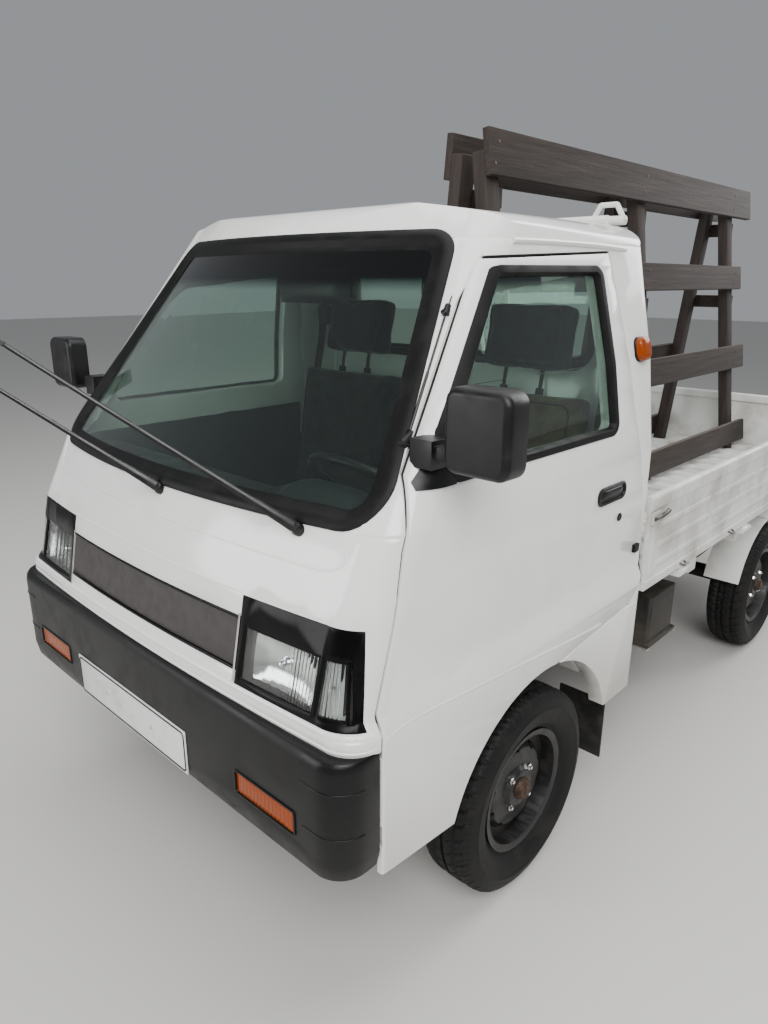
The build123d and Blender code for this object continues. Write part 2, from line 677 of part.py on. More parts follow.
def left_knuckle():
    """The steering knuckle: a block on the kingpin, a stub axle, a brake drum plate and a steering arm."""
    body = block(KINGPIN_X - 22, KINGPIN_X + 20, FRONT_AXLE_Y - 30, FRONT_AXLE_Y + 30, ARM_Z + ARM_THICKNESS + 1, 330)
    body += rod_x(KINGPIN_X + 35, KINGPIN_X + 60, FRONT_AXLE_Y, AXLE_Z, 100)
    body += rod_x(KINGPIN_X + 15, FRONT_TRACK / 2 + 24, FRONT_AXLE_Y, AXLE_Z, HUB_BORE)
    body += block(KINGPIN_X - 22, KINGPIN_X - 4, FRONT_AXLE_Y, FRONT_AXLE_Y + 120, 244, 264)
    hole = rod_z(KINGPIN_X, FRONT_AXLE_Y, ARM_Z, ARM_Z + 72, KINGPIN_RADIUS + STUB_CLEARANCE)
    return body - hole


def wheel_rim(x, y):
    """A pressed steel rim for the left side: barrel, flanges and a dished disc with ten holes."""
    half = RIM_WIDTH / 2
    inner = RIM_RADIUS - RIM_WALL
    outline = [
        (HUB_BORE + STUB_CLEARANCE, 4), (46, 4), (56, 20), (100, 20), (118, 6), (inner, 6), (inner, -half + 4),
        (RIM_RADIUS + 13, -half), (RIM_RADIUS + 13, -half + 6), (RIM_RADIUS, -half + 8), (RIM_RADIUS, half - 8),
        (RIM_RADIUS + 13, half - 6), (RIM_RADIUS + 13, half), (inner, half - 4), (inner, 14), (120, 14),
        (104, 30), (58, 30), (48, 44), (HUB_BORE + STUB_CLEARANCE, 44),
    ]
    face = make_face(Polyline(*outline, close=True))
    rim = revolve(Plane.XZ * face, Axis.Z)
    for k in range(10):
        rim -= Rot(0, 0, 36 * k) * Pos(109, 0, 10) * Cylinder(9, 60)
    return Pos(x, y, AXLE_Z) * Rot(0, 90, 0) * rim


def tyre(x, y):
    """A tyre with rounded shoulders, seated on the rim's barrel."""
    half = TYRE_WIDTH / 2
    bead = RIM_WIDTH / 2 - 9
    outer = TYRE_RADIUS
    edges = [
        Line((RIM_RADIUS, -bead), (RIM_RADIUS, bead)),
        Line((RIM_RADIUS, bead), (RIM_RADIUS + 15, bead)),
        ThreePointArc((RIM_RADIUS + 15, bead), (RIM_RADIUS + 62, half), (outer - 16, half - 12)),
        ThreePointArc((outer - 16, half - 12), (outer - 5, half - 18), (outer - 1, half - 30)),
        ThreePointArc((outer - 1, half - 30), (outer, 0), (outer - 1, 30 - half)),
        ThreePointArc((outer - 1, 30 - half), (outer - 5, 18 - half), (outer - 16, 12 - half)),
        ThreePointArc((outer - 16, 12 - half), (RIM_RADIUS + 62, -half), (RIM_RADIUS + 15, -bead)),
        Line((RIM_RADIUS + 15, -bead), (RIM_RADIUS, -bead)),
    ]
    solid = revolve(Plane.XZ * make_face(edges), Axis.Z)
    return Pos(x, y, AXLE_Z) * Rot(0, 90, 0) * solid


def rear_axle():
    """A live axle: tube, differential housing, brake drums' back plates and the wheel stubs."""
    end = REAR_TRACK / 2
    axle = rod_x(-end + 60, end - 60, REAR_AXLE_Y, AXLE_Z, 32)
    axle += Pos(0, REAR_AXLE_Y, AXLE_Z) * Sphere(105)
    axle += rod_y(0, REAR_AXLE_Y - 150, REAR_AXLE_Y, AXLE_Z, 40)
    for s in (1, -1):
        plate = rod_x(end - 78, end - 44, REAR_AXLE_Y, AXLE_Z, 112)
        plate += rod_x(end - 60, end + 24, REAR_AXLE_Y, AXLE_Z, HUB_BORE)
        axle += plate if s > 0 else mirrored(plate)
    return axle


def rear_springs():
    """Leaf springs with their hangers under the rails, and the shock absorbers."""
    x = RAIL_INNER_X + RAIL_WIDTH / 2
    seat = AXLE_Z + 32
    front = REAR_AXLE_Y - SPRING_HALF
    rear = REAR_AXLE_Y + SPRING_HALF
    end = SPRING_END_Z + SPRING_LEAF
    leaf_edges = [
        ThreePointArc((front, SPRING_END_Z), (REAR_AXLE_Y, seat), (rear, SPRING_END_Z)),
        Line((rear, SPRING_END_Z), (rear, end)),
        ThreePointArc((rear, end), (REAR_AXLE_Y, seat + 3 * SPRING_LEAF), (front, end)),
        Line((front, end), (front, SPRING_END_Z)),
    ]
    spring = side_prism(leaf_edges, x - 25, x + 25)
    for y in (front, rear - 40):
        spring += block(x - 20, x + 20, y, y + 40, SPRING_END_Z - 7, RAIL_BOTTOM)
    return spring, mirrored(spring)


def propshaft():
    """The shaft from the gearbox to the differential."""
    start = (0, ENGINE_Y[1], 345)
    end = (0, REAR_AXLE_Y - 150, AXLE_Z)
    run = math.dist(start, end)
    pitch = math.degrees(math.atan2(end[2] - start[2], end[1] - start[1]))
    shaft = Pos(*start) * Rot(pitch, 0, 0) * Rot(-90, 0, 0) * Pos(0, 0, run / 2) * Cylinder(28, run + 20)
    return shaft & block(-200, 200, start[1], end[1], 0, 600)


def exhaust():
    """Pipe and silencer along the frame, hung from a cross member."""
    pipe = rod_y(250, ENGINE_Y[1], 3380, 350, 18) + rod_y(250, 1500, 1960, 340, 66)
    pipe += block(240, 260, 2100, 2120, 350, RAIL_BOTTOM) + block(240, 260, 2780, 2800, 350, RAIL_BOTTOM)
    pipe += block(200, 268, ENGINE_Y[1] - 60, ENGINE_Y[1] + 10, 332, 368) - block(-200, 200, 0, 2000, 0, 2000)
    return pipe


def fuel_tank():
    """The fuel tank outside the right-hand rail."""
    x0, x1, y0, y1, z0, z1 = FUEL_TANK
    return fillet(block(-x1, -x0, y0, y1, z0, z1).edges().filter_by(Axis.Y), 30)


def battery_box():
    """The battery's box on its bracket outside the left rail."""
    x0, x1, y0, y1, z0, z1 = BATTERY
    box = fillet(block(x0, x1, y0, y1, z0, z1).edges().filter_by(Axis.Z), 12)
    y0 -= BATTERY_TRAY_EDGE
    y1 += BATTERY_TRAY_EDGE
    tray = block(RAIL_OUTER_X, x1 + BATTERY_TRAY_EDGE, y0, y1, z0 - BATTERY_TRAY, z0)
    tray += block(RAIL_OUTER_X, RAIL_OUTER_X + 6, y0, y1, z0 - BATTERY_TRAY, z0 + 75)
    return box + tray


def mud_flaps():
    """Rubber flaps behind the wheels."""
    front = block(545, 690, 1046, 1052, 190, CAB_BOTTOM)
    rear = block(540, 655, REAR_FLAP_Y, REAR_FLAP_Y + 6, 220, SILL_LOW)
    return front, mirrored(front), rear, mirrored(rear)


# Bed


def gate_hinge_places(low, high, count):
    """Evenly spaced hinge centres between two ends."""
    step = (high - low) / count
    return [low + step * (k + 0.5) for k in range(count)]


SIDE_HINGES = gate_hinge_places(BED_FRONT, BED_REAR, 4)
TAIL_HINGES = gate_hinge_places(-BED_HALF, BED_HALF, 3)
TAIL_HINGE_Y = BED_REAR + 2


def hinge_ears(y):
    """The pin and its two ears on the bed's left edge."""
    ears = rod_y(GATE_HINGE_X, y - 38, y + 38, GATE_HINGE_Z, GATE_PIN)
    for side in (-1, 1):
        a, b = sorted((y + side * 31, y + side * 38))
        ears += rod_y(GATE_HINGE_X, a, b, GATE_HINGE_Z, GATE_KNUCKLE)
        ears += block(BED_HALF - 4, GATE_HINGE_X, a, b, GATE_HINGE_Z - GATE_KNUCKLE, GATE_HINGE_Z + GATE_KNUCKLE)
    return ears


def gate_lug(y):
    """The knuckle that carries the left gate on its pin."""
    lug = rod_y(GATE_HINGE_X, y - GATE_LUG / 2, y + GATE_LUG / 2, GATE_HINGE_Z, GATE_KNUCKLE)
    lug += block(GATE_HINGE_X - 10, GATE_HINGE_X - 2, y - GATE_LUG / 2, y + GATE_LUG / 2, GATE_HINGE_Z, GATE_LOW + 4)
    return lug - rod_y(GATE_HINGE_X, y - 60, y + 60, GATE_HINGE_Z, GATE_PIN + STUB_CLEARANCE)


def as_tail(shape):
    """Turns a piece made for the left gate's hinge so that it serves the tailgate's."""
    return Pos(0, TAIL_HINGE_Y - GATE_HINGE_X, 0) * Rot(0, 0, 90) * shape


def bed_floor():
    """Sheet floor with cross ribs and the hinge ears on its edges."""
    bed = block(-BED_HALF, BED_HALF, BED_FRONT, BED_END, BED_SHEET_TOP - BED_SHEET, BED_SHEET_TOP)
    first = BED_FRONT + 92
    for k in range(RIB_COUNT):
        y = first + RIB_PITCH * k
        bed += block(-BED_HALF + 22, BED_HALF - 22, y - RIB_WIDTH / 2, y + RIB_WIDTH / 2, BED_SHEET_TOP - 1, RACK_FLOOR)
    for y in SIDE_HINGES:
        ears = hinge_ears(y)
        bed += ears + mirrored(ears)
    for x in TAIL_HINGES:
        bed += as_tail(hinge_ears(-x))
    return bed


def bed_sills():
    """The cross sills between the frame's runners and the bed's floor."""
    half = BED_HALF - SILL_SHORT
    return [block(-half, half, y, y + SILL_WIDTH, SILL_LOW, SILL_LOW + SILL_HEIGHT) for y in SILLS_Y]


def bed_runner():
    """The left one of the two runners that carry the sills on the frame's rails."""
    return block(RAIL_INNER_X, RAIL_OUTER_X, BED_FRONT, RAIL_REAR_Y, RAIL_TOP, SILL_LOW)


def rear_wheel_arch():
    """The sheet arch over the left rear wheel, under the bed."""
    outer = rod_x(520, BED_HALF - 4, REAR_AXLE_Y, AXLE_Z, REAR_ARCH_RADIUS)
    arch = outer - rod_x(510, BED_HALF, REAR_AXLE_Y, AXLE_Z, REAR_ARCH_RADIUS - REAR_ARCH_WALL)
    return arch & block(500, BED_HALF, REAR_AXLE_Y - 300, REAR_AXLE_Y + 300, AXLE_Z + 90, SILL_LOW)


def left_gate():
    """A drop side: pressed wall, rounded top rail and its hinge lugs."""
    inner = GATE_OUTER - GATE_THICKNESS
    gate = block(inner + 8, GATE_OUTER - 4, BED_FRONT, BED_REAR, GATE_LOW, GATE_HIGH - 14)
    rail = block(inner - 3, GATE_OUTER, BED_FRONT, BED_REAR, GATE_HIGH - 44, GATE_HIGH)
    gate += fillet(rail.edges().filter_by(Axis.Y), 9)
    gate += block(inner + 2, GATE_OUTER, BED_FRONT, BED_REAR, GATE_LOW, GATE_LOW + 26)
    for y in SIDE_HINGES:
        gate += gate_lug(y)
    return gate


def tailgate():
    """The tailgate, between the two drop sides."""
    half = BED_HALF
    outer = BED_REAR
    gate = block(-half, half, outer - GATE_THICKNESS + 8, outer - 4, GATE_LOW, GATE_HIGH - 14)
    rail = block(-half, half, outer - GATE_THICKNESS - 3, outer, GATE_HIGH - 44, GATE_HIGH)
    gate += fillet(rail.edges().filter_by(Axis.X), 9)
    gate += block(-half, half, outer - GATE_THICKNESS + 2, outer, GATE_LOW, GATE_LOW + 26)
    for x in TAIL_HINGES:
        gate += as_tail(gate_lug(-x))
    return gate


def headboard():
    """The bed's front wall with the steel guard that protects the rear window."""
    wall = block(-BED_HALF, BED_HALF, BED_FRONT, BED_FRONT + 22, BED_SHEET_TOP, GATE_HIGH)
    y = BED_FRONT + 10
    guard = rod_x(-GUARD_HALF, GUARD_HALF, y, GUARD_TOP_Z, 15)
    guard += rod_x(-GUARD_HALF, GUARD_HALF, y, GUARD_RAIL_Z, 12)
    for x, radius in ((GUARD_HALF, 14), (GUARD_INNER_X, 10)):
        post = rod_z(x, y, GATE_HIGH - 20, GUARD_TOP_Z, radius)
        guard += post + mirrored(post)
    rise = GUARD_HOOP_Z - GUARD_TOP_Z
    hoop = rod_x(GUARD_HALF - 23, GUARD_HALF + 23, y, GUARD_HOOP_Z, GUARD_HOOP_RADIUS)
    hoop += rod_x(GUARD_HALF - 50, GUARD_HALF + 50, y, GUARD_TOP_Z, 12)
    for side in (1, -1):
        run = side * 24
        lean = math.degrees(math.atan2(-run, rise))
        bar = Rot(0, lean, 0) * Cylinder(GUARD_HOOP_RADIUS, math.hypot(run, rise) + 4)
        hoop += Pos(GUARD_HALF + side * 35, y, GUARD_TOP_Z + rise / 2) * bar
    return wall + guard + hoop + mirrored(hoop)


def tail_lamps():
    """Combination lamps under the bed's rear edge."""
    front = SILLS_Y[-1] + 17
    lamp = fillet(block(400, 600, front, front + 56, SILL_LOW - TAIL_LAMP_HEIGHT, SILL_LOW).edges().filter_by(Axis.Y), 8)
    return lamp, mirrored(lamp)


def wipers():
    """Two arms lifted clear of the glass, each with its blade beside it."""
    glass_lean = math.radians(54.6)
    lift = math.radians(WIPER_LIFT)
    up = math.radians(WIPER_UP)
    in_glass = Vector(-math.cos(up), math.sin(up) * math.cos(glass_lean), math.sin(up) * math.sin(glass_lean))
    off_glass = Vector(0, -math.sin(glass_lean), math.cos(glass_lean))
    along = in_glass * math.cos(lift) + off_glass * math.sin(lift)
    under = off_glass * math.cos(lift) - in_glass * math.sin(lift)
    pieces = []
    for pivot in WIPER_PIVOTS:
        base = Vector(*pivot)
        post = Plane(base - off_glass * 30, z_dir=off_glass)
        cap = post * Pos(0, 0, 22) * Cylinder(15, 48)
        arm_plane = Plane(base, x_dir=along, z_dir=under)
        arm = arm_plane * Pos(WIPER_ARM / 2, 0, 0) * Box(WIPER_ARM + 20, 12, 7)
        blade = arm_plane * Pos(WIPER_ARM, 0, -9) * Box(WIPER_BLADE, 9, 12)
        pieces.append(cap + arm + blade - cab_outer)
    return pieces


def rack_side(top_x, foot_x, out):
    """One leaning side of the rack: its legs and its planks, on a frame that leans with it."""
    height = RACK_TOP_Z - RACK_FLOOR
    lean = math.degrees(math.atan2(foot_x - top_x, height))
    legs = []
    planks = []
    thick, wide = RACK_LEG
    turn = Pos(top_x, 0, RACK_TOP_Z) * Rot(0, -lean, 0)
    for y, foot in RACK_LEGS:
        leg = turn * block(*sorted((0, -out * thick)), y, y + wide, -height - 60, 0)
        legs.append(leg - block(-CAB_LIMIT, CAB_LIMIT, y - 10, y + wide + 10, 0, foot))
    for low, depth, y0, y1 in RACK_PLANKS:
        up = low - RACK_TOP_Z
        planks.append(turn * block(*sorted((0, out * PLANK)), y0, y1, up, up + depth))
    return legs, planks


def rack():
    """Both sides, with ties across at each pair of legs."""
    near_legs, near_planks = rack_side(*RACK_SIDES[0])
    far_legs, far_planks = rack_side(*RACK_SIDES[1])
    ties = []
    for y, foot in RACK_LEGS:
        for z in RACK_TIES_Z:
            ends = []
            for top_x, foot_x, out in RACK_SIDES:
                ends.append(top_x + (foot_x - top_x) * (RACK_TOP_Z - z - 70) / (RACK_TOP_Z - RACK_FLOOR))
            ties.append(block(*sorted(ends), y + RACK_LEG[1], y + RACK_LEG[1] + 22, z, z + 60))
    return near_legs + far_legs, near_planks + far_planks, ties


def main():
    """Writes every node."""
    os.makedirs("parts", exist_ok=True)
    panel, recess = front_panel()
    grille = recess & (cab_form(0, 4) - cab_form(0, GRILLE_DEPTH))
    bezel, lens, corner = headlamps()
    save("cab_front_panel", panel)
    save("cab_sides", *cab_sides())
    save("cab_rear_wall", rear_wall())
    save("cab_roof", roof())
    pan, floor_arch = floor_pan()
    save("cab_floor", pan)
    save("front_wheel_arches", floor_arch, mirrored(floor_arch))
    save("cab_glass", *cab_glass())
    save("grille_panel", grille)
    save("headlamp_bezels", bezel, mirrored(bezel))
    save("headlamps", lens, corner, mirrored(lens), mirrored(corner))
    save("front_bumper", front_bumper())
    lamp = bumper_lamp_space(0.3) & (bumper_form(2) - bumper_form(14))
    marker = block(*MARKER_LAMP) - cab_outer
    save("amber_lamps", lamp, mirrored(lamp), marker, mirrored(marker))
    save("number_plates", *number_plates())
    save("dashboard", dashboard())
    save("seat_cushions", *seat_cushions())
    save("seat_backs", *seat_backs())
    save("steering_wheel", steering_wheel())
    save("chassis_frame", chassis())
    save("engine_block", block(-ENGINE_HALF, ENGINE_HALF, *ENGINE_Y, *ENGINE_Z))
    save("front_suspension", *front_suspension())
    save("rear_axle", rear_axle())
    save("rear_springs", *rear_springs())
    save("propshaft", propshaft())
    save("exhaust", exhaust())
    save("fuel_tank", fuel_tank())
    save("battery_box", battery_box())
    save("mud_flaps", *mud_flaps())
    save("bed_floor", bed_floor())
    save("bed_sills", *bed_sills())
    save("bed_runners", bed_runner(), mirrored(bed_runner()))
    arch = rear_wheel_arch()
    save("rear_wheel_arches", arch, mirrored(arch))
    save("headboard", headboard())
    save("tail_lamps", *tail_lamps())
    save("wipers", *wipers())
    legs, planks, ties = rack()
    save("rack_legs", *legs)
    save("rack_planks", *planks)
    save("rack_ties", *ties)
    save("tailgate", tailgate())
    for side, flip in (("left", False), ("right", True)):
        made = {
            f"{side}_door": left_door(),
            f"{side}_door_glass": left_door_glass(),
            f"{side}_door_mirror": left_door_mirror(),
            f"{side}_knuckle": left_knuckle(),
            f"{side}_gate": left_gate(),
            f"front_{side}_rim": wheel_rim(FRONT_TRACK / 2, FRONT_AXLE_Y),
            f"front_{side}_tyre": tyre(FRONT_TRACK / 2, FRONT_AXLE_Y),
            f"rear_{side}_rim": wheel_rim(REAR_TRACK / 2, REAR_AXLE_Y),
            f"rear_{side}_tyre": tyre(REAR_TRACK / 2, REAR_AXLE_Y),
        }
        for node, shape in made.items():
            save(node, mirrored(shape) if flip else shape)


main()
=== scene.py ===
import json
import math

import bmesh
import bpy
import numpy as np
from mathutils import Matrix, Vector

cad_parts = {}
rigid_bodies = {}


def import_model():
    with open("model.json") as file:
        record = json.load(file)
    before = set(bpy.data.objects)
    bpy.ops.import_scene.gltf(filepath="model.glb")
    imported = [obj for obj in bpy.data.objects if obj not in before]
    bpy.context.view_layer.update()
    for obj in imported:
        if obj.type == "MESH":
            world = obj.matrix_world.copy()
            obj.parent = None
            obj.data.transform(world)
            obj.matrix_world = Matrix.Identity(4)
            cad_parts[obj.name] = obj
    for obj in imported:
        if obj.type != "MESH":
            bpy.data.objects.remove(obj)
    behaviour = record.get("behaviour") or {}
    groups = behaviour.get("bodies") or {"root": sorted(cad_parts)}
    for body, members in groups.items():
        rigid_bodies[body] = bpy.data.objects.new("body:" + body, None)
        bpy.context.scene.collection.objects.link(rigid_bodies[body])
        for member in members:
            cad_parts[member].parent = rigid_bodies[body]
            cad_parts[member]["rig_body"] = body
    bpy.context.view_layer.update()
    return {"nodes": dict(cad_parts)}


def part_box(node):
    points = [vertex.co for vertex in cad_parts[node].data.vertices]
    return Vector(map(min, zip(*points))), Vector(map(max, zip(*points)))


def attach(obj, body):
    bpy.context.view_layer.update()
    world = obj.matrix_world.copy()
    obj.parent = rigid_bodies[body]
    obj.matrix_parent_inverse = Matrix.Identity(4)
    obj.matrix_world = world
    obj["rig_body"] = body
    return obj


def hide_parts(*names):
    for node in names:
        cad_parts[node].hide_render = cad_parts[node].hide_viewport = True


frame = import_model()
nodes = frame["nodes"]

# Meshes are in metres: +X is the truck's left, +Y its rear, and the ground is at Z = 0.
# Sizes are written in millimetres, and lengths along the truck back from the bumper's face.
MM = 0.001
FACE_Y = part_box("front_bumper")[0].y


# The studio: a pale floor, a plain sky and large soft lamps, as for a catalogue picture.
# The camera stands where the photographer stood, a little above and left of the headlamps.
CAMERA_PLACE = (1.4837, FACE_Y - 0.7146, 1.5222)
CAMERA_TURN = 43.4
CAMERA_DIP = 17.6
CAMERA_ROLL = 0.2
CAMERA_LENS = 25.65
SKY_STRENGTH = 0.42
FLOOR_HALF = 30
LAMPS = (
    # name, place, aimed at, width, power in watts
    ("key", (3.4, -3.8, 4.2), (0.2, -0.6, 0.8), 3.0, 300),
    ("fill", (-2.4, -5.4, 1.9), (0.0, -0.8, 0.8), 2.4, 110),
    ("back", (1.5, 4.8, 4.0), (0.0, 0.6, 0.8), 3.5, 200),
    ("top", (0.3, -0.2, 5.2), (0.0, 0.0, 0.6), 4.5, 170),
)


def linear(code, alpha=1.0):
    """An sRGB hex colour as linear red, green, blue and alpha."""
    parts = np.array([int(code[k:k + 2], 16) for k in (0, 2, 4)]) / 255
    light = np.where(parts <= 0.04045, parts / 12.92, ((parts + 0.055) / 1.055) ** 2.4)
    return (*[float(value) for value in light], alpha)


def add(tree, kind, inputs=None, **settings):
    """Adds one shader node, sets its values and links the sockets given as inputs."""
    made = tree.nodes.new("ShaderNode" + kind)
    for name, value in settings.items():
        setattr(made, name, value)
    for name, value in (inputs or {}).items():
        if isinstance(value, bpy.types.NodeSocket):
            tree.links.new(value, made.inputs[name])
        else:
            made.inputs[name].default_value = value
    return made


def new_finish(name, **values):
    """A material with one Principled shader, whose values are set by socket name."""
    finish = bpy.data.materials.new(name)
    finish.use_nodes = True
    shader = finish.node_tree.nodes["Principled BSDF"]
    for socket, value in values.items():
        shader.inputs[socket.replace("_", " ")].default_value = value
    return finish, finish.node_tree, shader


camera = bpy.data.objects.new("camera", bpy.data.cameras.new("camera"))
camera.data.lens = CAMERA_LENS
camera.data.sensor_width = 36
camera.matrix_world = (
    Matrix.Translation(CAMERA_PLACE)
    @ Matrix.Rotation(math.radians(CAMERA_TURN), 4, "Z")
    @ Matrix.Rotation(math.radians(90 - CAMERA_DIP), 4, "X")
    @ Matrix.Rotation(math.radians(CAMERA_ROLL), 4, "Z")
)
bpy.context.scene.collection.objects.link(camera)
bpy.context.scene.camera = camera

for name, place, target, width, power in LAMPS:
    lamp = bpy.data.objects.new(name, bpy.data.lights.new(name, "AREA"))
    lamp.data.size = width
    lamp.data.energy = power
    lamp.location = place
    lamp.rotation_euler = (Vector(target) - Vector(place)).to_track_quat("-Z", "Y").to_euler()
    bpy.context.scene.collection.objects.link(lamp)

world = bpy.data.worlds.new("studio")
world.use_nodes = True
world.node_tree.nodes["Background"].inputs["Color"].default_value = linear("dfe3e8")
world.node_tree.nodes["Background"].inputs["Strength"].default_value = SKY_STRENGTH
bpy.context.scene.world = world

floor_mesh = bpy.data.meshes.new("floor")
floor_corners = [(x * FLOOR_HALF, y * FLOOR_HALF, 0) for x, y in ((-1, -1), (1, -1), (1, 1), (-1, 1))]
floor_mesh.from_pydata(floor_corners, [], [(0, 1, 2, 3)])
floor_mesh.materials.append(new_finish("studio floor", Base_Color=linear("c9c7c3"), Roughness=0.75)[0])
floor = bpy.data.objects.new("floor", floor_mesh)
bpy.context.scene.collection.objects.link(floor)


# The cab's panels: pressed sheet steel in white stoving enamel, spot-welded and seam-sealed.
# They keep their CAD shape, and their sharp edges are rounded as the press leaves them. The
# enamel is glossy and pale, with a film of road dust that thickens towards the sills.
def worn(name, clean, dirty, patch, amount, rough, grain=None, depth=0.15, low=None, **values):
    """A finish with a dirty colour in soft patches over a clean one, and a fine grain as bump.

    The patches are noise of size patch in mm, and amount is how much of the surface they take.
    grain is the size in mm of a second noise. low is a height in mm below which the dirt thickens.
    """
    finish, tree, shader = new_finish(name, **values)
    place = add(tree, "TexCoord").outputs["Object"]
    patches = add(tree, "TexNoise", {
        "Vector": place, "Scale": 1 / (patch * MM), "Detail": 6.0, "Roughness": 0.6,
    })
    # the more cover is asked for, the lower the noise's level at which it starts
    start = 0.62 - amount * 0.4
    spread = add(tree, "MapRange", {
        "Value": patches.outputs["Fac"], "From Min": start, "From Max": start + 0.26,
    })
    cover = spread.outputs["Result"]
    if low:
        # the splashes begin at the height low and are at their full half below 0.25 m
        height = add(tree, "SeparateXYZ", {"Vector": place}).outputs["Z"]
        splash = add(tree, "MapRange", {
            "Value": height, "From Min": 0.25, "From Max": low * MM, "To Min": 0.5, "To Max": 0.0,
        })
        mixed = add(tree, "Math", {0: cover, 1: 0.45}, operation="MULTIPLY")
        reach = add(tree, "Math", {0: patches.outputs["Fac"], 1: 2.0}, operation="MULTIPLY")
        splashed = add(tree, "Math", {
            0: splash.outputs["Result"], 1: reach.outputs["Value"],
        }, operation="MULTIPLY")
        total = add(tree, "Math", {0: mixed.outputs["Value"], 1: splashed.outputs["Value"]}, operation="ADD")
        total.use_clamp = True
        cover = total.outputs["Value"]
    blend = add(tree, "Mix", {"Factor": cover}, data_type="RGBA")
    # a Mix node's colour sockets are its seventh and eighth inputs, and its third output
    blend.inputs[6].default_value = linear(clean)
    blend.inputs[7].default_value = linear(dirty)
    tree.links.new(blend.outputs[2], shader.inputs["Base Color"])
    gloss = add(tree, "MapRange", {"Value": cover, "To Min": rough[0], "To Max": rough[1]})
    tree.links.new(gloss.outputs["Result"], shader.inputs["Roughness"])
    if grain:
        fine = add(tree, "TexNoise", {"Vector": place, "Scale": 1 / (grain * MM), "Detail": 3.0})
        bump = add(tree, "Bump", {
            "Height": fine.outputs["Fac"], "Strength": depth, "Distance": grain * 0.4 * MM,
        })
        tree.links.new(bump.outputs["Normal"], shader.inputs["Normal"])
    return finish


def finished(finish, *names):
    """Gives CAD nodes their finish."""
    for name in names:
        nodes[name].data.materials.clear()
        nodes[name].data.materials.append(finish)


def softened(node, radius, finish, parts=2, angle=32):
    """Replaces a CAD node by a copy whose edges over the angle given have the radius given in mm.

    It takes the finish given, and rides on the node's body.
    """
    mesh = nodes[node].data.copy()
    mesh.name = node + "_shaped"
    work = bmesh.new()
    work.from_mesh(mesh)
    bmesh.ops.remove_doubles(work, verts=work.verts, dist=2e-5)
    bmesh.ops.dissolve_limit(
        work, angle_limit=math.radians(0.1), verts=work.verts, edges=work.edges, delimit={"NORMAL"}
    )
    work.to_mesh(mesh)
    work.free()
    piece = bpy.data.objects.new(node + "_shaped", mesh)
    bpy.context.scene.collection.objects.link(piece)
    edges = piece.modifiers.new("edges", "BEVEL")
    edges.width = radius * MM
    edges.segments = parts
    edges.limit_method = "ANGLE"
    edges.angle_limit = math.radians(angle)
    edges.harden_normals = True
    mesh.polygons.foreach_set("use_smooth", np.ones(len(mesh.polygons), bool))
    mesh.materials.clear()
    mesh.materials.append(finish)
    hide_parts(node)
    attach(piece, nodes[node]["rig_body"])
    return piece


PANEL_EDGE = 2.2
ROOF_EDGE = 8

enamel = worn("white stoving enamel", "ecece9", "b9b1a2", 900, 0.2, (0.14, 0.42), 12, 0.015, 620,
              Coat_Weight=0.3, Coat_Roughness=0.08)
for name in ("cab_front_panel", "cab_sides", "cab_rear_wall", "left_door", "right_door"):
    softened(name, PANEL_EDGE, enamel)
softened("cab_roof", ROOF_EDGE, enamel, parts=3, angle=12)
finished(enamel, "front_wheel_arches")
# the floor's paint is dull and trodden, with brown dirt over more than half of it
finished(worn("dusty floor enamel", "b9b8b2", "6d665b", 120, 0.6, (0.4, 0.8), 6, 0.1), "cab_floor")


# The cab's skin as a surface, for all that is fixed on it. Between the heights of this table it
# is ruled. A level is an arc of the given bow across the front, then a quarter circle, then a side.
CAB_LEVELS = np.array((
    # height, half width, front at the middle, bow, corner radius, narrowing towards the front
    (378, 696, 52, 10, 70, 0),
    (690, 696, 26, 18, 70, 0),
    (704, 697, 14, 22, 74, 0),
    (730, 698, 12, 24, 74, 0),
    (758, 686, 16, 26, 100, 0),
    (928, 687, 44, 40, 99, 2),
    (975, 688.5, 59, 48, 99, 3),
    (990, 686.5, 64, 50, 99, 3),
    (1090, 686, 96, 66, 98, 4),
    (1330, 655, 269, 76, 90, 12),
    (1606, 596, 468, 78, 84, 16),
    (1760, 565, 579, 80, 80, 18),
))
BUMPER_LEVELS = np.array((
    (443, 690, 6, 4, 66, 0),
    (480, 698, 0, 4, 70, 0),
    (680, 698, 0, 4, 70, 0),
    (702, 694, 9, 5, 64, 0),
))
CAB_BACK = 1168


def front_depth(x, z, levels=CAB_LEVELS):
    """How far back the front skin lies at x and z.

    Up to the shoulder it is an arc of a circle through nose and cheek: nose + R - sqrt(R^2 - x^2).
    Past it the corner's quarter circle adds r - sqrt(r^2 - over^2).
    """
    half, nose, bow, corner, taper = (np.interp(z, levels[:, 0], levels[:, k]) for k in range(1, 6))
    shoulder = half - taper - corner
    swing = (shoulder ** 2 + bow ** 2) / (2 * bow)
    inside = np.minimum(np.abs(x), shoulder)
    over = np.clip(np.abs(x) - shoulder, 0, corner * 0.999)
    return nose + swing - np.sqrt(swing ** 2 - inside ** 2) + corner - np.sqrt(corner ** 2 - over ** 2)


def side_reach(y, z, levels=CAB_LEVELS):
    """How far out the side skin lies at y and z: the corner's quarter circle, then a straight side."""
    half, nose, bow, corner, taper = (np.interp(z, levels[:, 0], levels[:, k]) for k in range(1, 6))
    end = nose + bow + corner
    over = np.clip(end - y, 0, corner)
    back = np.clip((y - end) / (CAB_BACK - end), 0, 1)
    return half - taper * (1 - back) - corner + np.sqrt(corner ** 2 - over ** 2)


def truck(x, y, z):
    """Places in millimetres, measured back from the bumper's face, as points of the frame."""
    x, y, z = np.broadcast_arrays(x, y, z)
    return np.stack([x * MM, FACE_Y + y * MM, z * MM], -1)


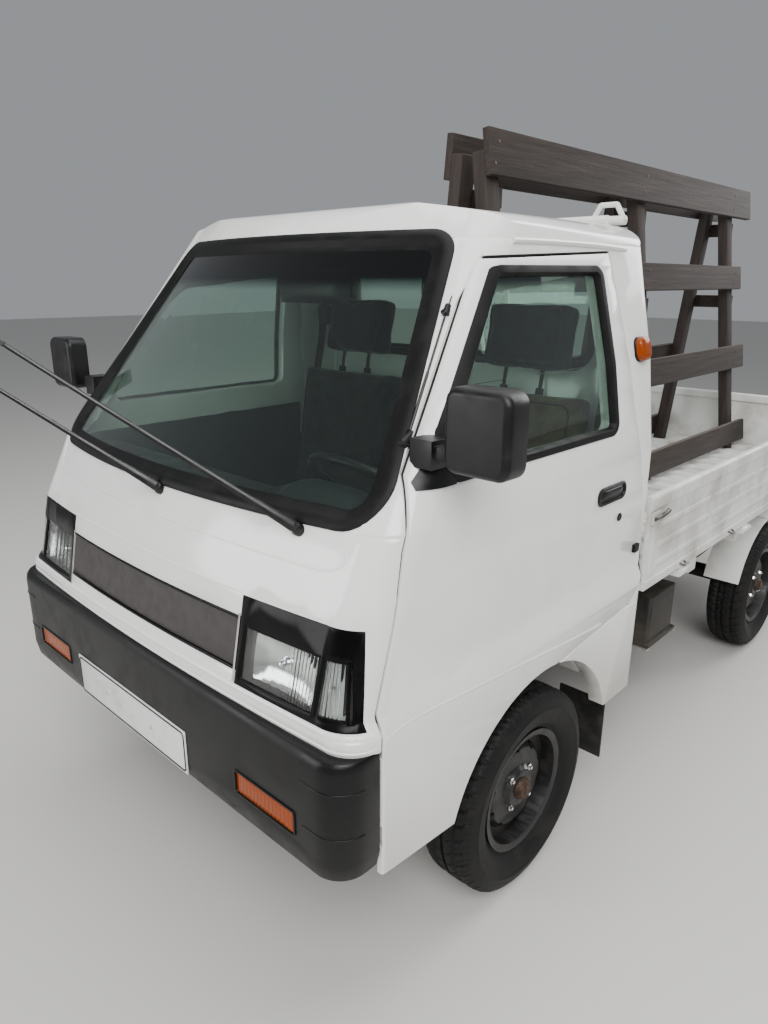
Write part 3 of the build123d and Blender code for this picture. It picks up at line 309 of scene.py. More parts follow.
def on_front(x, z, height=0.0, levels=CAB_LEVELS):
    """Points of the front skin at x and z, lifted along its normal by height.

    The normal of y = depth(x, z) is (dy/dx, -1, dy/dz), and its slopes are taken over 2 mm.
    """
    x, z, height = (np.asarray(value, float) for value in np.broadcast_arrays(x, z, height))
    run_x = front_depth(x + 1, z, levels) - front_depth(x - 1, z, levels)
    run_z = front_depth(x, z + 1, levels) - front_depth(x, z - 1, levels)
    normal = np.stack([run_x, np.full_like(run_x, -2), run_z], -1)
    normal /= np.linalg.norm(normal, axis=-1, keepdims=True)
    return truck(x, front_depth(x, z, levels), z) + normal * height[..., None] * MM


def on_side(y, z, height=0.0, hand=1, levels=CAB_LEVELS):
    """Points of the side skin at y and z, lifted along its normal by height; hand is 1 on the left.

    The normal of x = reach(y, z) is (1, -dx/dy, -dx/dz), and its slopes are taken over 2 mm.
    """
    y, z, height = (np.asarray(value, float) for value in np.broadcast_arrays(y, z, height))
    run_y = side_reach(y + 1, z, levels) - side_reach(y - 1, z, levels)
    run_z = side_reach(y, z + 1, levels) - side_reach(y, z - 1, levels)
    normal = np.stack([np.full_like(run_y, 2), -run_y, -run_z], -1)
    normal /= np.linalg.norm(normal, axis=-1, keepdims=True)
    return (truck(side_reach(y, z, levels), y, z) + normal * height[..., None] * MM) * (hand, 1, 1)


def grid_faces(rows, cols, ring_rows=False, ring_cols=False):
    """The quads of a grid of points, joined up across its rows or its columns where asked."""
    i, j = np.meshgrid(np.arange(rows - (not ring_rows)), np.arange(cols - (not ring_cols)), indexing="ij")
    i, j = i.ravel(), j.ravel()
    far, next_one = (i + 1) % rows, (j + 1) % cols
    return np.stack([i * cols + j, i * cols + next_one, far * cols + next_one, far * cols + j], 1)


def tube(points, ring=False):
    """Points and faces of a closed profile in each row of a grid; open ends are closed by a face."""
    rows, cols = points.shape[:2]
    faces = grid_faces(rows, cols, ring_rows=ring, ring_cols=True).tolist()
    if not ring:
        faces += [list(range(cols)), list(range((rows - 1) * cols, rows * cols))]
    return points.reshape(-1, 3), faces


def slab(outer, inner):
    """Points and faces of a sheet between two grids of the same shape, closed round its edge."""
    rows, cols = outer.shape[:2]
    count = rows * cols
    faces = grid_faces(rows, cols)
    ring = np.concatenate([
        np.arange(cols), np.arange(1, rows) * cols + cols - 1,
        (rows - 1) * cols + np.arange(cols - 2, -1, -1), np.arange(rows - 2, 0, -1) * cols,
    ])
    after = np.roll(ring, -1)
    band = np.stack([ring, after, after + count, ring + count], 1)
    points = np.concatenate([outer.reshape(-1, 3), inner.reshape(-1, 3)])
    return points, np.concatenate([faces, faces[:, ::-1] + count, band]).tolist()


def put(name, shapes, finish, body="root", replaced=(), sharp=40):
    """One piece from (points, faces) shapes: joined, merged, turned outwards, and on its body."""
    points, faces, first = [], [], 0
    for shape_points, shape_faces in shapes:
        points.append(np.asarray(shape_points, float))
        faces += [[first + k for k in face] for face in shape_faces]
        first += len(shape_points)
    mesh = bpy.data.meshes.new(name)
    mesh.from_pydata(np.concatenate(points).tolist(), [], faces)
    work = bmesh.new()
    work.from_mesh(mesh)
    bmesh.ops.remove_doubles(work, verts=work.verts, dist=2e-6)
    bmesh.ops.dissolve_degenerate(work, edges=work.edges, dist=1e-6)
    bmesh.ops.recalc_face_normals(work, faces=work.faces)
    work.to_mesh(mesh)
    work.free()
    mesh.polygons.foreach_set("use_smooth", np.ones(len(mesh.polygons), bool))
    mesh.set_sharp_from_angle(angle=math.radians(sharp))
    mesh.materials.append(finish)
    piece = bpy.data.objects.new(name, mesh)
    bpy.context.scene.collection.objects.link(piece)
    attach(piece, body)
    if replaced:
        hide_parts(*replaced)
    return piece


def bead(path, width, rise, ring=False, below=1.0):
    """A half-round bead along a path on a skin: profile a = w/2 cos t, b = rise sin t, and a foot.

    path(a, b) gives the points for offsets a across the path and b above the skin.
    """
    turn = np.linspace(0, math.pi, 7)
    across = np.concatenate([np.cos(turn) * width / 2, [-width / 2, width / 2]])
    above = np.concatenate([np.sin(turn) * rise, [-below, -below]])
    return tube(path(across, above), ring)


# The front has two pressed creases, an upper one that turns up beside the windscreen and a lower
# one just above the grille, and a stepped lip below the grille and lamps. They are part of the
# panel's pressing, drawn here as fine half-round beads of the same enamel.
UPPER_CREASE = (
    (595, 1128), (595, 1085), (592, 1050), (578, 1022), (548, 1012), (500, 1011), (340, 1014), (0, 1018),
)
LOWER_CREASE = (366, 933)
# width and rise of the two
CREASE_SECTIONS = ((5, 0.9), (5, 1.0))
LIP_HALF = 690
# the lip's two lines: height, width and rise
LIP_LINES = ((739, 9, 3.0), (709, 7, 2.0))


def along(line):
    """The direction of a line at each of its points, of length 1."""
    run = np.gradient(line, axis=0)
    return run / np.linalg.norm(run, axis=1, keepdims=True)


def along_front(places, levels=CAB_LEVELS):
    """A path over the front skin: the point of each place, moved by a across the path and b above."""
    places = np.asarray(places, float)
    x, z = places[:, :1], places[:, 1:]
    run = along(places)

    def point(a, b):
        """The place moved across the path, at right angles to its run."""
        return on_front(x - run[:, 1:] * a, z + run[:, :1] * a, b + 0 * x, levels)

    return point


def level_front(half, z, count):
    """A level line across the front, from one side to the other."""
    return along_front(np.stack([np.linspace(-half, half, count), np.full(count, float(z))], 1))


def smooth_line(places, count):
    """Evenly spaced points on a smooth line by a few places.

    Three times, each run of the line is cut at a quarter and at three quarters, which rounds its corners.
    """
    line = np.asarray(places, float)
    for _ in range(3):
        cut = np.stack([line[:-1] * 0.75 + line[1:] * 0.25, line[:-1] * 0.25 + line[1:] * 0.75], 1)
        line = np.concatenate([line[:1], cut.reshape(-1, line.shape[1]), line[-1:]])
    gone = np.concatenate([[0], np.cumsum(np.linalg.norm(np.diff(line, axis=0), axis=1))])
    at = np.linspace(0, gone[-1], count)
    return np.stack([np.interp(at, gone, line[:, k]) for k in range(line.shape[1])], 1)


crease = smooth_line(UPPER_CREASE + tuple((-x, z) for x, z in UPPER_CREASE[-2::-1]), 220)
put("front_creases", [
    bead(along_front(crease), *CREASE_SECTIONS[0]),
    bead(level_front(*LOWER_CREASE, 60), *CREASE_SECTIONS[1]),
    *(bead(level_front(LIP_HALF, z, 120), width, rise) for z, width, rise in LIP_LINES),
], enamel)


# The windscreen and rear window: laminated and tempered green glass, each held in a black rubber
# seal with a filler lip. A dark band is printed along the top of the windscreen.
SCREEN = ((-626, 1092), (626, 1092), (481, 1614), (-481, 1614))
SCREEN_CORNER = 62
# the screen leans back, so that a distance up the glass covers this much height
SCREEN_LEAN = 0.81
# a seal's section: distance outwards from the glass's edge, and height over the skin
SEAL = (
    (14, 0.4), (13, 2.8), (6, 5), (-4, 5.5), (-12, 3.5), (-20, -3), (-33, -6), (-35, -9), (-10, -9), (10, -3),
)
REAR_WINDOW = ((-485, 1295), (485, 1295), (485, 1550), (-485, 1550))
REAR_CORNER = 60
REAR_SEAL = ((16, 0), (14, 5), (4, 8), (-8, 6), (-16, 1), (-20, -6), (-20, -15), (-2, -15), (6, -2))
REAR_FACE = 1198
# the shade band darkens between these heights, ahead of this place, both in metres of the frame
BAND = (1.500, 1.575)
BAND_BEHIND = -0.9


def rounded_loop(corners, radius, gap=14):
    """A closed outline of straight runs joined by arcs, run anticlockwise, with its outward directions.

    An arc's middle lies radius / sin(half the corner's angle) along the corner's bisector.
    """
    corners = np.asarray(corners, float)
    points, ways, legs = [], [], []
    for before, corner, after in zip(np.roll(corners, 1, 0), corners, np.roll(corners, -1, 0)):
        a = (before - corner) / np.linalg.norm(before - corner)
        b = (after - corner) / np.linalg.norm(after - corner)
        half = math.acos(np.clip(a @ b, -1, 1)) / 2
        middle = corner + (a + b) / np.linalg.norm(a + b) * radius / math.sin(half)
        start = corner + a * radius / math.tan(half) - middle
        end = corner + b * radius / math.tan(half) - middle
        first = math.atan2(start[1], start[0])
        sweep = (math.atan2(end[1], end[0]) - first) % (2 * math.pi)
        turn = first + np.linspace(0, sweep, 10)
        legs.append((middle, turn))
    for (middle, turn), (next_middle, next_turn) in zip(legs, legs[1:] + legs[:1]):
        way = np.stack([np.cos(turn), np.sin(turn)], 1)
        start = middle + way[-1] * radius
        end = next_middle + np.array([math.cos(next_turn[0]), math.sin(next_turn[0])]) * radius
        steps = max(2, int(np.linalg.norm(end - start) / gap))
        share = np.linspace(0, 1, steps + 1)[1:-1, None]
        points += [middle + way * radius, start + (end - start) * share]
        ways += [way, np.repeat(way[-1:], steps - 1, 0)]
    return np.concatenate(points), np.concatenate(ways)


def framed(outline, ways, profile, surface, squash=1.0):
    """A seal round an outline: point(i, j) = surface(outline(i) + way(i) * profile(j, 0), profile(j, 1))."""
    profile = np.asarray(profile, float)
    places = outline[:, None] + ways[:, None] * profile[None, :, :1] * (1, squash)
    height = np.broadcast_to(profile[:, 1], places.shape[:2])
    return tube(surface(places[..., 0], places[..., 1], height), True)


def on_rear(x, z, height):
    """Points on the flat rear wall."""
    return truck(x, REAR_FACE + height, z)


# the rubber is matt and nearly black, with a greyer bloom where dust has settled
rubber = worn(
    "black glazing rubber", "070707", "161514", 60, 0.35, (0.5, 0.75), 2.5, 0.15, Specular_IOR_Level=0.25,
)
screen = rounded_loop(SCREEN, SCREEN_CORNER)
put("windscreen_seal", [framed(*screen, SEAL, on_front, SCREEN_LEAN)], rubber)
rear_window = rounded_loop(REAR_WINDOW, REAR_CORNER)
put("rear_window_seal", [framed(*rear_window, REAR_SEAL, on_rear)], rubber)

# the glass is clear with a green tint, and its shade band runs through blue-green to black
glass, tree, shader = new_finish("green-tinted safety glass", Roughness=0.0, Transmission_Weight=1.0, IOR=1.5)
glass_place = add(tree, "SeparateXYZ", {"Vector": add(tree, "TexCoord").outputs["Object"]})
front_part = add(tree, "Math", {0: glass_place.outputs["Y"], 1: BAND_BEHIND}, operation="LESS_THAN")
rise = add(tree, "MapRange", {"Value": glass_place.outputs["Z"], "From Min": BAND[0], "From Max": BAND[1]})
band = add(tree, "Math", {0: rise.outputs["Result"], 1: front_part.outputs["Value"]}, operation="MULTIPLY")
tint = add(tree, "ValToRGB", {"Fac": band.outputs["Value"]})
tint.color_ramp.elements[0].color = linear("d2e6dc")
tint.color_ramp.elements[1].color = linear("050707")
tint.color_ramp.elements.new(0.35).color = linear("1f3d40")
tree.links.new(tint.outputs["Color"], shader.inputs["Base Color"])
finished(glass, "cab_glass", "left_door_glass", "right_door_glass")


# The doors' outer fittings ride on the doors: the window's rubber, wider where it meets the
# pillars, the black sail that carries the mirror, a recessed black pull handle and its lock, and
# inside a vinyl card. Above each door a white drip rail is spot-welded to the body.
SIDE_WINDOW = ((335, 1168), (982, 1168), (958, 1548), (560, 1543), (335, 1247))
SIDE_SEAL = ((10, 0.3), (9.5, 2.4), (3, 3.6), (-5, 3), (-9, -4), (-11, -13), (-3, -13.5), (2, -4))
SIDE_CORNER = 22
# the seal widens by these shares along the front pillar and at the rear, where its outward
# direction leans further forwards or backwards than this
SASH_SPREAD = (1.3, 0.7)
SASH_FROM = (0.35, 0.6)
# the sail's front and rear edge: place, foot and top
SAIL = ((250, 1158, 1172), (341, 1158, 1262))
# heights over the skin of each sheet's outer and inner face
SAIL_FACES = (3.2, -1.0)
STOP_FACES = (9, -1)
CARD_FACES = (-45.5, -48.5)
CARD_PAD_FACES = (-46, -52)
HANDLE_PLACE = (965, 1012)
HANDLE_SIZE = (143, 45)
HANDLE_ROUND = 20
HANDLE_EDGE = ((1, 0.2), (1, 3.5), (-2, 5.5), (-6, 5), (-7.5, 0.6))
HANDLE_DISH = ((1, -0.8), (1, 0.8), (0.5, 0.8), (0, 0.8))
# half the pull's length and height, and how far above the recess's middle it sits
PULL = (57, 12, 5)
LOCK_PLACE = (1018, 938)
LOCK = ((11, -1), (11, 2), (9, 3.4), (7.5, 3.4), (7, 2), (0, 2))
# sheets on the door's skin: from and to along the truck, from and to in height
STOP = (1120, 1146, 812, 834)
CARD = (190, 1065, 700, 1085)
CARD_PAD = (480, 760, 905, 960)
RAIL_LINE = ((618, 1601), (700, 1603), (955, 1603), (1090, 1597))
# width and rise of the drip rail
RAIL = (12, 8.5)


def patch(rows, columns):
    """Two parameters on a grid, u along its columns and v along its rows, both from -1 to 1."""
    return np.meshgrid(np.linspace(-1, 1, columns), np.linspace(-1, 1, rows))


def share_patch(rows, columns):
    """Two parameters on a grid, both from 0 to 1."""
    return np.meshgrid(np.linspace(0, 1, columns), np.linspace(0, 1, rows))


def corners_of(low, high):
    """The corners of an upright box, anticlockwise, from its low corner and its high one."""
    return [(low[0], low[1]), (high[0], low[1]), (high[0], high[1]), (low[0], high[1])]


def box_round(centre, half_width, half_height):
    """The corners of an upright box about a centre."""
    x, z = centre
    return corners_of((x - half_width, z - half_height), (x + half_width, z + half_height))


def handed(shapes, hand):
    """Shapes made for the left, kept there for hand 1 and mirrored to the right for hand -1."""
    return [(np.asarray(points) * (hand, 1, 1), faces) for points, faces in shapes]


def boss(surface, centre, rings, count=24):
    """A round button on a surface: rings of (radius, height) from its foot to the middle of its top."""
    turn = np.linspace(0, 2 * math.pi, count, endpoint=False)
    radius, height = (np.asarray(part, float)[:, None] for part in zip(*rings))
    points = surface(centre[0] + radius * np.cos(turn), centre[1] + radius * np.sin(turn), height + 0 * turn)
    faces = grid_faces(len(rings), count, ring_cols=True).tolist() + [list(range(count))]
    return points.reshape(-1, 3), faces


def dome(outline, surface, rings):
    """A closed form over an outline: at each ring, the outline shrunk to a share, at a height."""
    middle = outline.mean(0)
    share, height = (np.asarray(part, float)[:, None] for part in zip(*rings))
    places = middle + (outline - middle) * share[..., None]
    faces = grid_faces(len(rings), len(outline), ring_cols=True).tolist() + [list(range(len(outline)))]
    return surface(places[..., 0], places[..., 1], height + 0 * places[..., 0]).reshape(-1, 3), faces


def sheet_on(surface, low_u, high_u, low_v, high_v, heights, cells=(24, 16)):
    """A slab on a surface between two values of each parameter; heights are its outer and inner face."""
    u, v = np.meshgrid(np.linspace(low_u, high_u, cells[0]), np.linspace(low_v, high_v, cells[1]))
    return slab(surface(u, v, heights[0] + 0 * u), surface(u, v, heights[1] + 0 * u))


# the plastic has a fine moulded grain and half a gloss; the vinyl is blue-grey and duller
black_plastic = worn("black moulded trim plastic", "0c0c0e", "1b1a1a", 60, 0.4, (0.36, 0.58), 1.4, 0.25,
                     Specular_IOR_Level=0.35)
vinyl = worn("dark grained trim vinyl", "20272a", "2f3535", 110, 0.4, (0.5, 0.7), 1.8, 0.35)
SIDES = (("left", 1), ("right", -1))
window, window_way = rounded_loop(SIDE_WINDOW, SIDE_CORNER)
towards_front = np.clip(-window_way[:, :1] - SASH_FROM[0], 0, 1)
towards_rear = np.clip(window_way[:, :1] - SASH_FROM[1], 0, 1)
spread = (1 + SASH_SPREAD[0] * towards_front + SASH_SPREAD[1] * towards_rear)[:, None]
seal = np.asarray(SIDE_SEAL, float)
seal_out = np.where(seal[:, :1] > 0, seal[:, :1] * spread, seal[:, :1])
seal_places = window[:, None] + window_way[:, None] * seal_out
seal_height = np.broadcast_to(seal[:, 1], seal_places.shape[:2])
rail = smooth_line(RAIL_LINE, 110)
rail_way = along(rail)
handle = rounded_loop(box_round(HANDLE_PLACE, HANDLE_SIZE[0] / 2, HANDLE_SIZE[1] / 2), HANDLE_ROUND)
for side, hand in SIDES:
    door = side + "_door"

    def skin(y, z, height):
        """A point on this side's skin."""
        return on_side(y, z, height, hand)

    seal_ring = skin(seal_places[..., 0], seal_places[..., 1], seal_height)
    put(side + "_window_seal", [tube(seal_ring, True)], rubber, door)
    u, v = share_patch(8, 14)
    y = SAIL[0][0] + (SAIL[1][0] - SAIL[0][0]) * u
    z = SAIL[0][1] + (SAIL[0][2] - SAIL[0][1] + (SAIL[1][2] - SAIL[0][2]) * u) * v
    sail = slab(*(skin(y, z, height) for height in SAIL_FACES))
    put(side + "_mirror_sail", [sail], black_plastic, door)
    u, v = patch(12, 30)
    y = HANDLE_PLACE[0] + u * PULL[0]
    z = HANDLE_PLACE[1] + PULL[2] + v * PULL[1]
    # the pull swells to 8 mm in its middle: 1.5 + 6.5 (1 - u^6) (1 - v^4)
    bulge = 1.5 + 6.5 * (1 - u ** 6) * (1 - v ** 4)
    put(side + "_door_handle", [
        framed(*handle, HANDLE_EDGE, skin),
        dome(handle[0], skin, HANDLE_DISH),
        slab(skin(y, z, bulge), skin(y, z, 0.5)),
    ], black_plastic, door)
    put(side + "_door_lock", [boss(skin, LOCK_PLACE, LOCK)], black_plastic, door)
    put(side + "_door_stop", [sheet_on(skin, *STOP, STOP_FACES, (6, 6))], rubber, door)
    put(side + "_door_card", [
        sheet_on(skin, *CARD, CARD_FACES, (30, 20)),
        sheet_on(skin, *CARD_PAD, CARD_PAD_FACES, (10, 6)),
    ], vinyl, door)

    def on_rail(a, b):
        """A point of the drip rail, a across its line and b above the skin."""
        return skin(rail[:, :1] - rail_way[:, 1:] * a, rail[:, 1:] + rail_way[:, :1] * a, b + 0 * rail[:, :1])

    put(side + "_drip_rail", [bead(on_rail, *RAIL, below=2)], enamel)


# The door mirrors: a deep black moulded housing on a short arm, with a silvered glass at the back.
MIRROR_MIDDLE = (780, 300, 1280)
MIRROR_HALF = (58, 64)
# how much the glass's edges draw in towards its corners
MIRROR_ROUND = 0.12
# it reflects sharply and almost without loss
silver = new_finish("silvered mirror glass", Base_Color=linear("e6ebee"), Metallic=1.0, Roughness=0.03)[0]
u, v = patch(13, 13)
# a square with rounded corners: each side is half * sqrt(1 - round * other^2). It is slightly
# domed: height = 2.4 - 1.2 (u^2 + v^2)
x = MIRROR_MIDDLE[0] + MIRROR_HALF[0] * u * np.sqrt(1 - v ** 2 * MIRROR_ROUND)
z = MIRROR_MIDDLE[2] + MIRROR_HALF[1] * v * np.sqrt(1 - u ** 2 * MIRROR_ROUND)
swell = 2.4 - 1.2 * (u ** 2 + v ** 2)
mirror = slab(truck(x, MIRROR_MIDDLE[1] + swell, z), truck(x, MIRROR_MIDDLE[1] - 1, z))
for side, hand in SIDES:
    softened(side + "_door_mirror", 3, black_plastic, parts=3)
    put(side + "_mirror_glass", handed([mirror], hand), silver, side + "_door")


# The grille is one flat panel of brown-black plastic, faded by the sun, between thin black edges,
# with a bright strip at its left end. The headlamps are glass-fronted units in glossy black
# surrounds: a silvered bowl with its bulb behind a lens fluted at its outer end, and a clear
# fluted lamp that turns the corner.
GRILLE_HALF = 366
GRILLE_LOW = 772
GRILLE_HIGH = 884
# width and rise of an edge and of an end strip, and how far the edges lie in from top and foot
GRILLE_EDGE = (7, 1.5)
EDGE_IN = 3
END_STRIP = (5, 3.0)
# a lens: its inner and outer edge, its foot and its top
LENS = (383, 584, 757, 869)
CORNER_LENS = (592, 661, 757, 869)
# the corner lens leans forward: its outer edge moves in by this share of its height
CORNER_LEAN = 0.11
# the fine flutes begin here on the lens, and the wide ones lie inwards of it
FLUTES_FROM = 505
FLUTE = 8.5
WIDE_FLUTE = 26
FLUTE_DEPTH = 1.8
WIDE_FLUTE_DEPTH = 0.7
CORNER_FLUTES = 9
# depths under the skin: the lenses' face and each one's back, the bowl's brim and how much deeper
# its middle is, the bowl's sheet, and the corner bowl's two faces
LENS_FACE = -3.0
LENS_BACKS = (-6.5, -6.0)
BOWL = (26, 17)
BOWL_SHEET = 1.2
CORNER_BOWL = (-17, -18.5)
LENS_ROUND = 7
BULB = ((11, -43), (11, -37), (8, -36), (8, -27), (7, -24), (4, -22), (0, -21.4))
BULB_PLACE = (469.5, 812)
CORNER_BULB = ((7, -17), (7, -13), (5, -10), (0, -9.4))
CORNER_BULB_PLACE = (618, 815)
LENS_RIM = ((2.5, -3.5), (2, -0.5), (-2.5, -1), (-4, -3))

# years of sun have turned the grille's black to a chalky brown
faded = worn("sun-faded grille plastic", "2a2524", "3d3735", 25, 0.5, (0.42, 0.62), 1.6, 0.35)
finished(faded, "grille_panel")
# the surrounds are piano black, so they stay dark beside the white panel
surround = worn(
    "glossy black lamp surround", "040405", "0c0c0e", 90, 0.3, (0.25, 0.4), None, Specular_IOR_Level=0.14,
)
softened("headlamp_bezels", 1.6, surround)
# vacuum-silvered bowls give the lamps their bright, broken reflections behind clear pressed glass
chrome = new_finish("silvered lamp bowl", Base_Color=linear("e9e9e7"), Metallic=1.0, Roughness=0.16)[0]
frosted = new_finish("frosted lamp bowl", Base_Color=linear("dcdcd8"), Metallic=0.3, Roughness=0.4)[0]
lamp_glass = new_finish(
    "pressed lamp glass", Base_Color=linear("f2f6f5"), Roughness=0.02, Transmission_Weight=1.0, IOR=1.5,
)[0]
put("grille_edges", [
    bead(level_front(GRILLE_HALF, z, 70), *GRILLE_EDGE, below=5)
    for z in (GRILLE_HIGH - EDGE_IN, GRILLE_LOW + EDGE_IN)
], surround)
strip = np.linspace(GRILLE_LOW - 24, GRILLE_HIGH + 6, 20)
put("grille_end_strips", [
    bead(along_front(np.stack([np.full(20, x), strip], 1)), *END_STRIP, below=4)
    for x in (GRILLE_HALF - 1, 1 - GRILLE_HALF)
], chrome)


def both(shapes):
    """Shapes made for the left, and the same ones mirrored to the right."""
    return handed(shapes, 1) + handed(shapes, -1)


# the main lens has flutes in its back, depth |sin(pi x / flute)|, wider and shallower inwards
low_x, high_x, low_z, high_z = LENS
x, z = np.meshgrid(np.linspace(low_x, high_x, 150), np.linspace(low_z, high_z, 24))
outer_part = np.clip((x - FLUTES_FROM) / 20, 0, 1)
flutes = outer_part * np.abs(np.sin(math.pi * x / FLUTE)) * FLUTE_DEPTH
flutes += (1 - outer_part) * np.abs(np.sin(math.pi * x / WIDE_FLUTE)) * WIDE_FLUTE_DEPTH
main_lens = slab(on_front(x, z, LENS_FACE), on_front(x, z, LENS_BACKS[0] - flutes))
# its bowl is a deep tray with rounded walls: depth = brim + more (1 - |u|^3) (1 - |v|^3)
u, v = patch(30, 40)
deep = -BOWL[0] - BOWL[1] * (1 - np.abs(u) ** 3) * (1 - np.abs(v) ** 3)
x = (low_x + high_x) / 2 + u * (high_x - low_x) / 2
z = (low_z + high_z) / 2 + v * (high_z - low_z) / 2
bowl = slab(on_front(x, z, deep), on_front(x, z, deep - BOWL_SHEET))
# the corner lens's flutes close up towards its leaning outer edge
low_x, high_x, low_z, high_z = CORNER_LENS
u, v = share_patch(24, 70)
z = low_z + v * (high_z - low_z)
x = low_x + u * (high_x - CORNER_LEAN * (z - low_z) - low_x)
ridge = np.abs(np.sin(math.pi * u * CORNER_FLUTES)) * FLUTE_DEPTH
corner_lens = slab(on_front(x, z, LENS_FACE), on_front(x, z, LENS_BACKS[1] - ridge))
corner_bowl = slab(*(on_front(x, z, height) for height in CORNER_BOWL))
main_rim = framed(*rounded_loop(corners_of(LENS[::2], LENS[1::2]), LENS_ROUND), LENS_RIM, on_front)
loop, way = rounded_loop(corners_of((low_x, low_z), (high_x - 6, high_z)), LENS_ROUND)
loop[:, 0] -= CORNER_LEAN * (loop[:, 1] - low_z) * (loop[:, 0] > 620)
corner_rim = framed(loop, way, LENS_RIM, on_front)
bulbs = [boss(on_front, BULB_PLACE, BULB), boss(on_front, CORNER_BULB_PLACE, CORNER_BULB)]
put("headlamp_lenses", both([main_lens, corner_lens]), lamp_glass, replaced=("headlamps",))
put("headlamp_bowls", both([bowl]), chrome)
put("corner_lamp_bowls", both([corner_bowl]), frosted)
put("headlamp_bulbs", both(bulbs), silver)
put("headlamp_rims", both([main_rim, corner_rim]), surround)


# The bumper: a moulded black cover that wraps round to the doors, its grain worn and dusty, with
# two pressed lines round each corner. Amber lamps are set into it, and into each rear pillar.
CORNER_LINES = (640, 541)
CORNER_LINE = (5, 1.6)
# how far round the corner each line runs, from where the front's arc ends
CORNER_LINE_RUN = (-34, 104)
LIP_RUN = (-620, 108)
# the lip's lines where they turn the corner: height, width and rise
LIP_ENDS = ((738, 9, 2.8), (709, 6, 1.6))
AMBER_BOX = ((384, 505), (572, 558))
AMBER_EDGE = ((3, -0.5), (2.5, 2), (-1, 2.2), (-2.5, -2.5))
AMBER_FACE = ((0.97, -12), (0.98, -4), (0.96, -2), (0.9, -1), (0.5, -0.4), (0, 0))
AMBER_RIB = 6
AMBER_ROUND = 6
MARKER_ROUND = 20
MARKER_BOX = ((1088, 1326), (1148, 1388))
MARKER_BASE = ((1, -1), (1, 4), (0.96, 5.5), (0.9, 5.5))
MARKER_DOME = ((0.93, 2), (0.93, 12), (0.9, 17), (0.82, 20.5), (0.65, 22.5), (0.35, 23.4), (0, 23.6))


def round_corner(run, z, height, levels):
    """A skin followed round its left front corner: run is 0 where the front's arc meets the corner.

    The corner is a quarter circle, so the angle turned is run / r. Before it lies the front, and
    after it the side.
    """
    run, z, height = np.broadcast_arrays(run, z, height)
    half, nose, bow, corner, taper = (np.interp(z, levels[:, 0], levels[:, k]) for k in range(1, 6))
    turn = np.clip(run / corner, 0, math.pi / 2)
    shoulder = half - taper - corner
    x = shoulder + np.minimum(run, 0)
    y = front_depth(x, z, levels) + corner * (1 - np.cos(turn)) + np.maximum(run - corner * math.pi / 2, 0)
    points = truck(x + corner * np.sin(turn), y, z)
    return points + np.stack([np.sin(turn), -np.cos(turn), 0 * turn], -1) * height[..., None] * MM


def corner_line(z, start, end, levels):
    """A level path round the left front corner, for a bead."""
    run = np.linspace(start, end, 50)[:, None]

    def point(a, b):
        """The place on the path, a above it and b outwards."""
        return round_corner(run + 0 * a, z + a, b, levels)

    return point


def on_bumper(x, z, height):
    """A point of the bumper's skin."""
    return on_front(x, z, height, BUMPER_LEVELS)


# the bumper's plastic is grained and half matt, so it reads as dark grey along its lit top edge
bumper_plastic = worn(
    "grained black bumper plastic", "080809", "171615", 130, 0.35, (0.36, 0.58), 2.2, 0.28,
    Specular_IOR_Level=0.28,
)
softened("front_bumper", 1.5, bumper_plastic)
lines = [bead(corner_line(z, *CORNER_LINE_RUN, BUMPER_LEVELS), *CORNER_LINE) for z in CORNER_LINES]
put("bumper_lines", both(lines), bumper_plastic)
lip = [bead(corner_line(z, *LIP_RUN, CAB_LEVELS), width, rise) for z, width, rise in LIP_ENDS]
put("front_lip", both(lip), enamel)

# the amber acrylic is deep orange, and upright ribs behind its face break up the light
amber, tree, shader = new_finish(
    "amber acrylic lens", Base_Color=linear("8a3a05"), Roughness=0.16, Specular_IOR_Level=0.25,
)
place = add(tree, "TexCoord").outputs["Object"]
# a Wave node repeats at 2 pi over its scale
waves = add(tree, "TexWave", {"Vector": place, "Scale": 1 / (AMBER_RIB * MM) / 6.283}, bands_direction="X")
ribs = add(tree, "Bump", {"Height": waves.outputs["Fac"], "Strength": 0.5, "Distance": 0.001})
tree.links.new(ribs.outputs["Normal"], shader.inputs["Normal"])
amber_loop = rounded_loop(corners_of(*AMBER_BOX), AMBER_ROUND)
marker_loop = rounded_loop(corners_of(*MARKER_BOX), MARKER_ROUND, gap=8)[0]
amber_frame = framed(*amber_loop, AMBER_EDGE, on_bumper)
amber_face = dome(amber_loop[0], on_bumper, AMBER_FACE)
amber_shapes = [amber_face, dome(marker_loop, on_side, MARKER_DOME)]
frame_shapes = [amber_frame, dome(marker_loop, on_side, MARKER_BASE)]
put("amber_lenses", both(amber_shapes), amber, replaced=("amber_lamps",))
put("amber_lamp_frames", both(frame_shapes), bumper_plastic)


# The number plates are embossed aluminium under a white reflective film, left blank, each with a
# raised dark rim and two screws.
RIM_HALF = (254, 50)
RIM_ROUND = 9
RIM_EDGE = ((2.2, 0), (1.6, 1.4), (-1.6, 1.4), (-2.2, 0))
SCREW = ((6, 0), (6, 1.6), (4, 2.6), (0, 2.8))
SCREW_APART = 110
# each plate: its middle across and up, where its face lies, and which way it looks
PLATES = (
    ("front", (-59, 506), -3, -1),
    ("rear", (0, 561), (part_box("number_plates")[1].y - FACE_Y) / MM, 1),
)
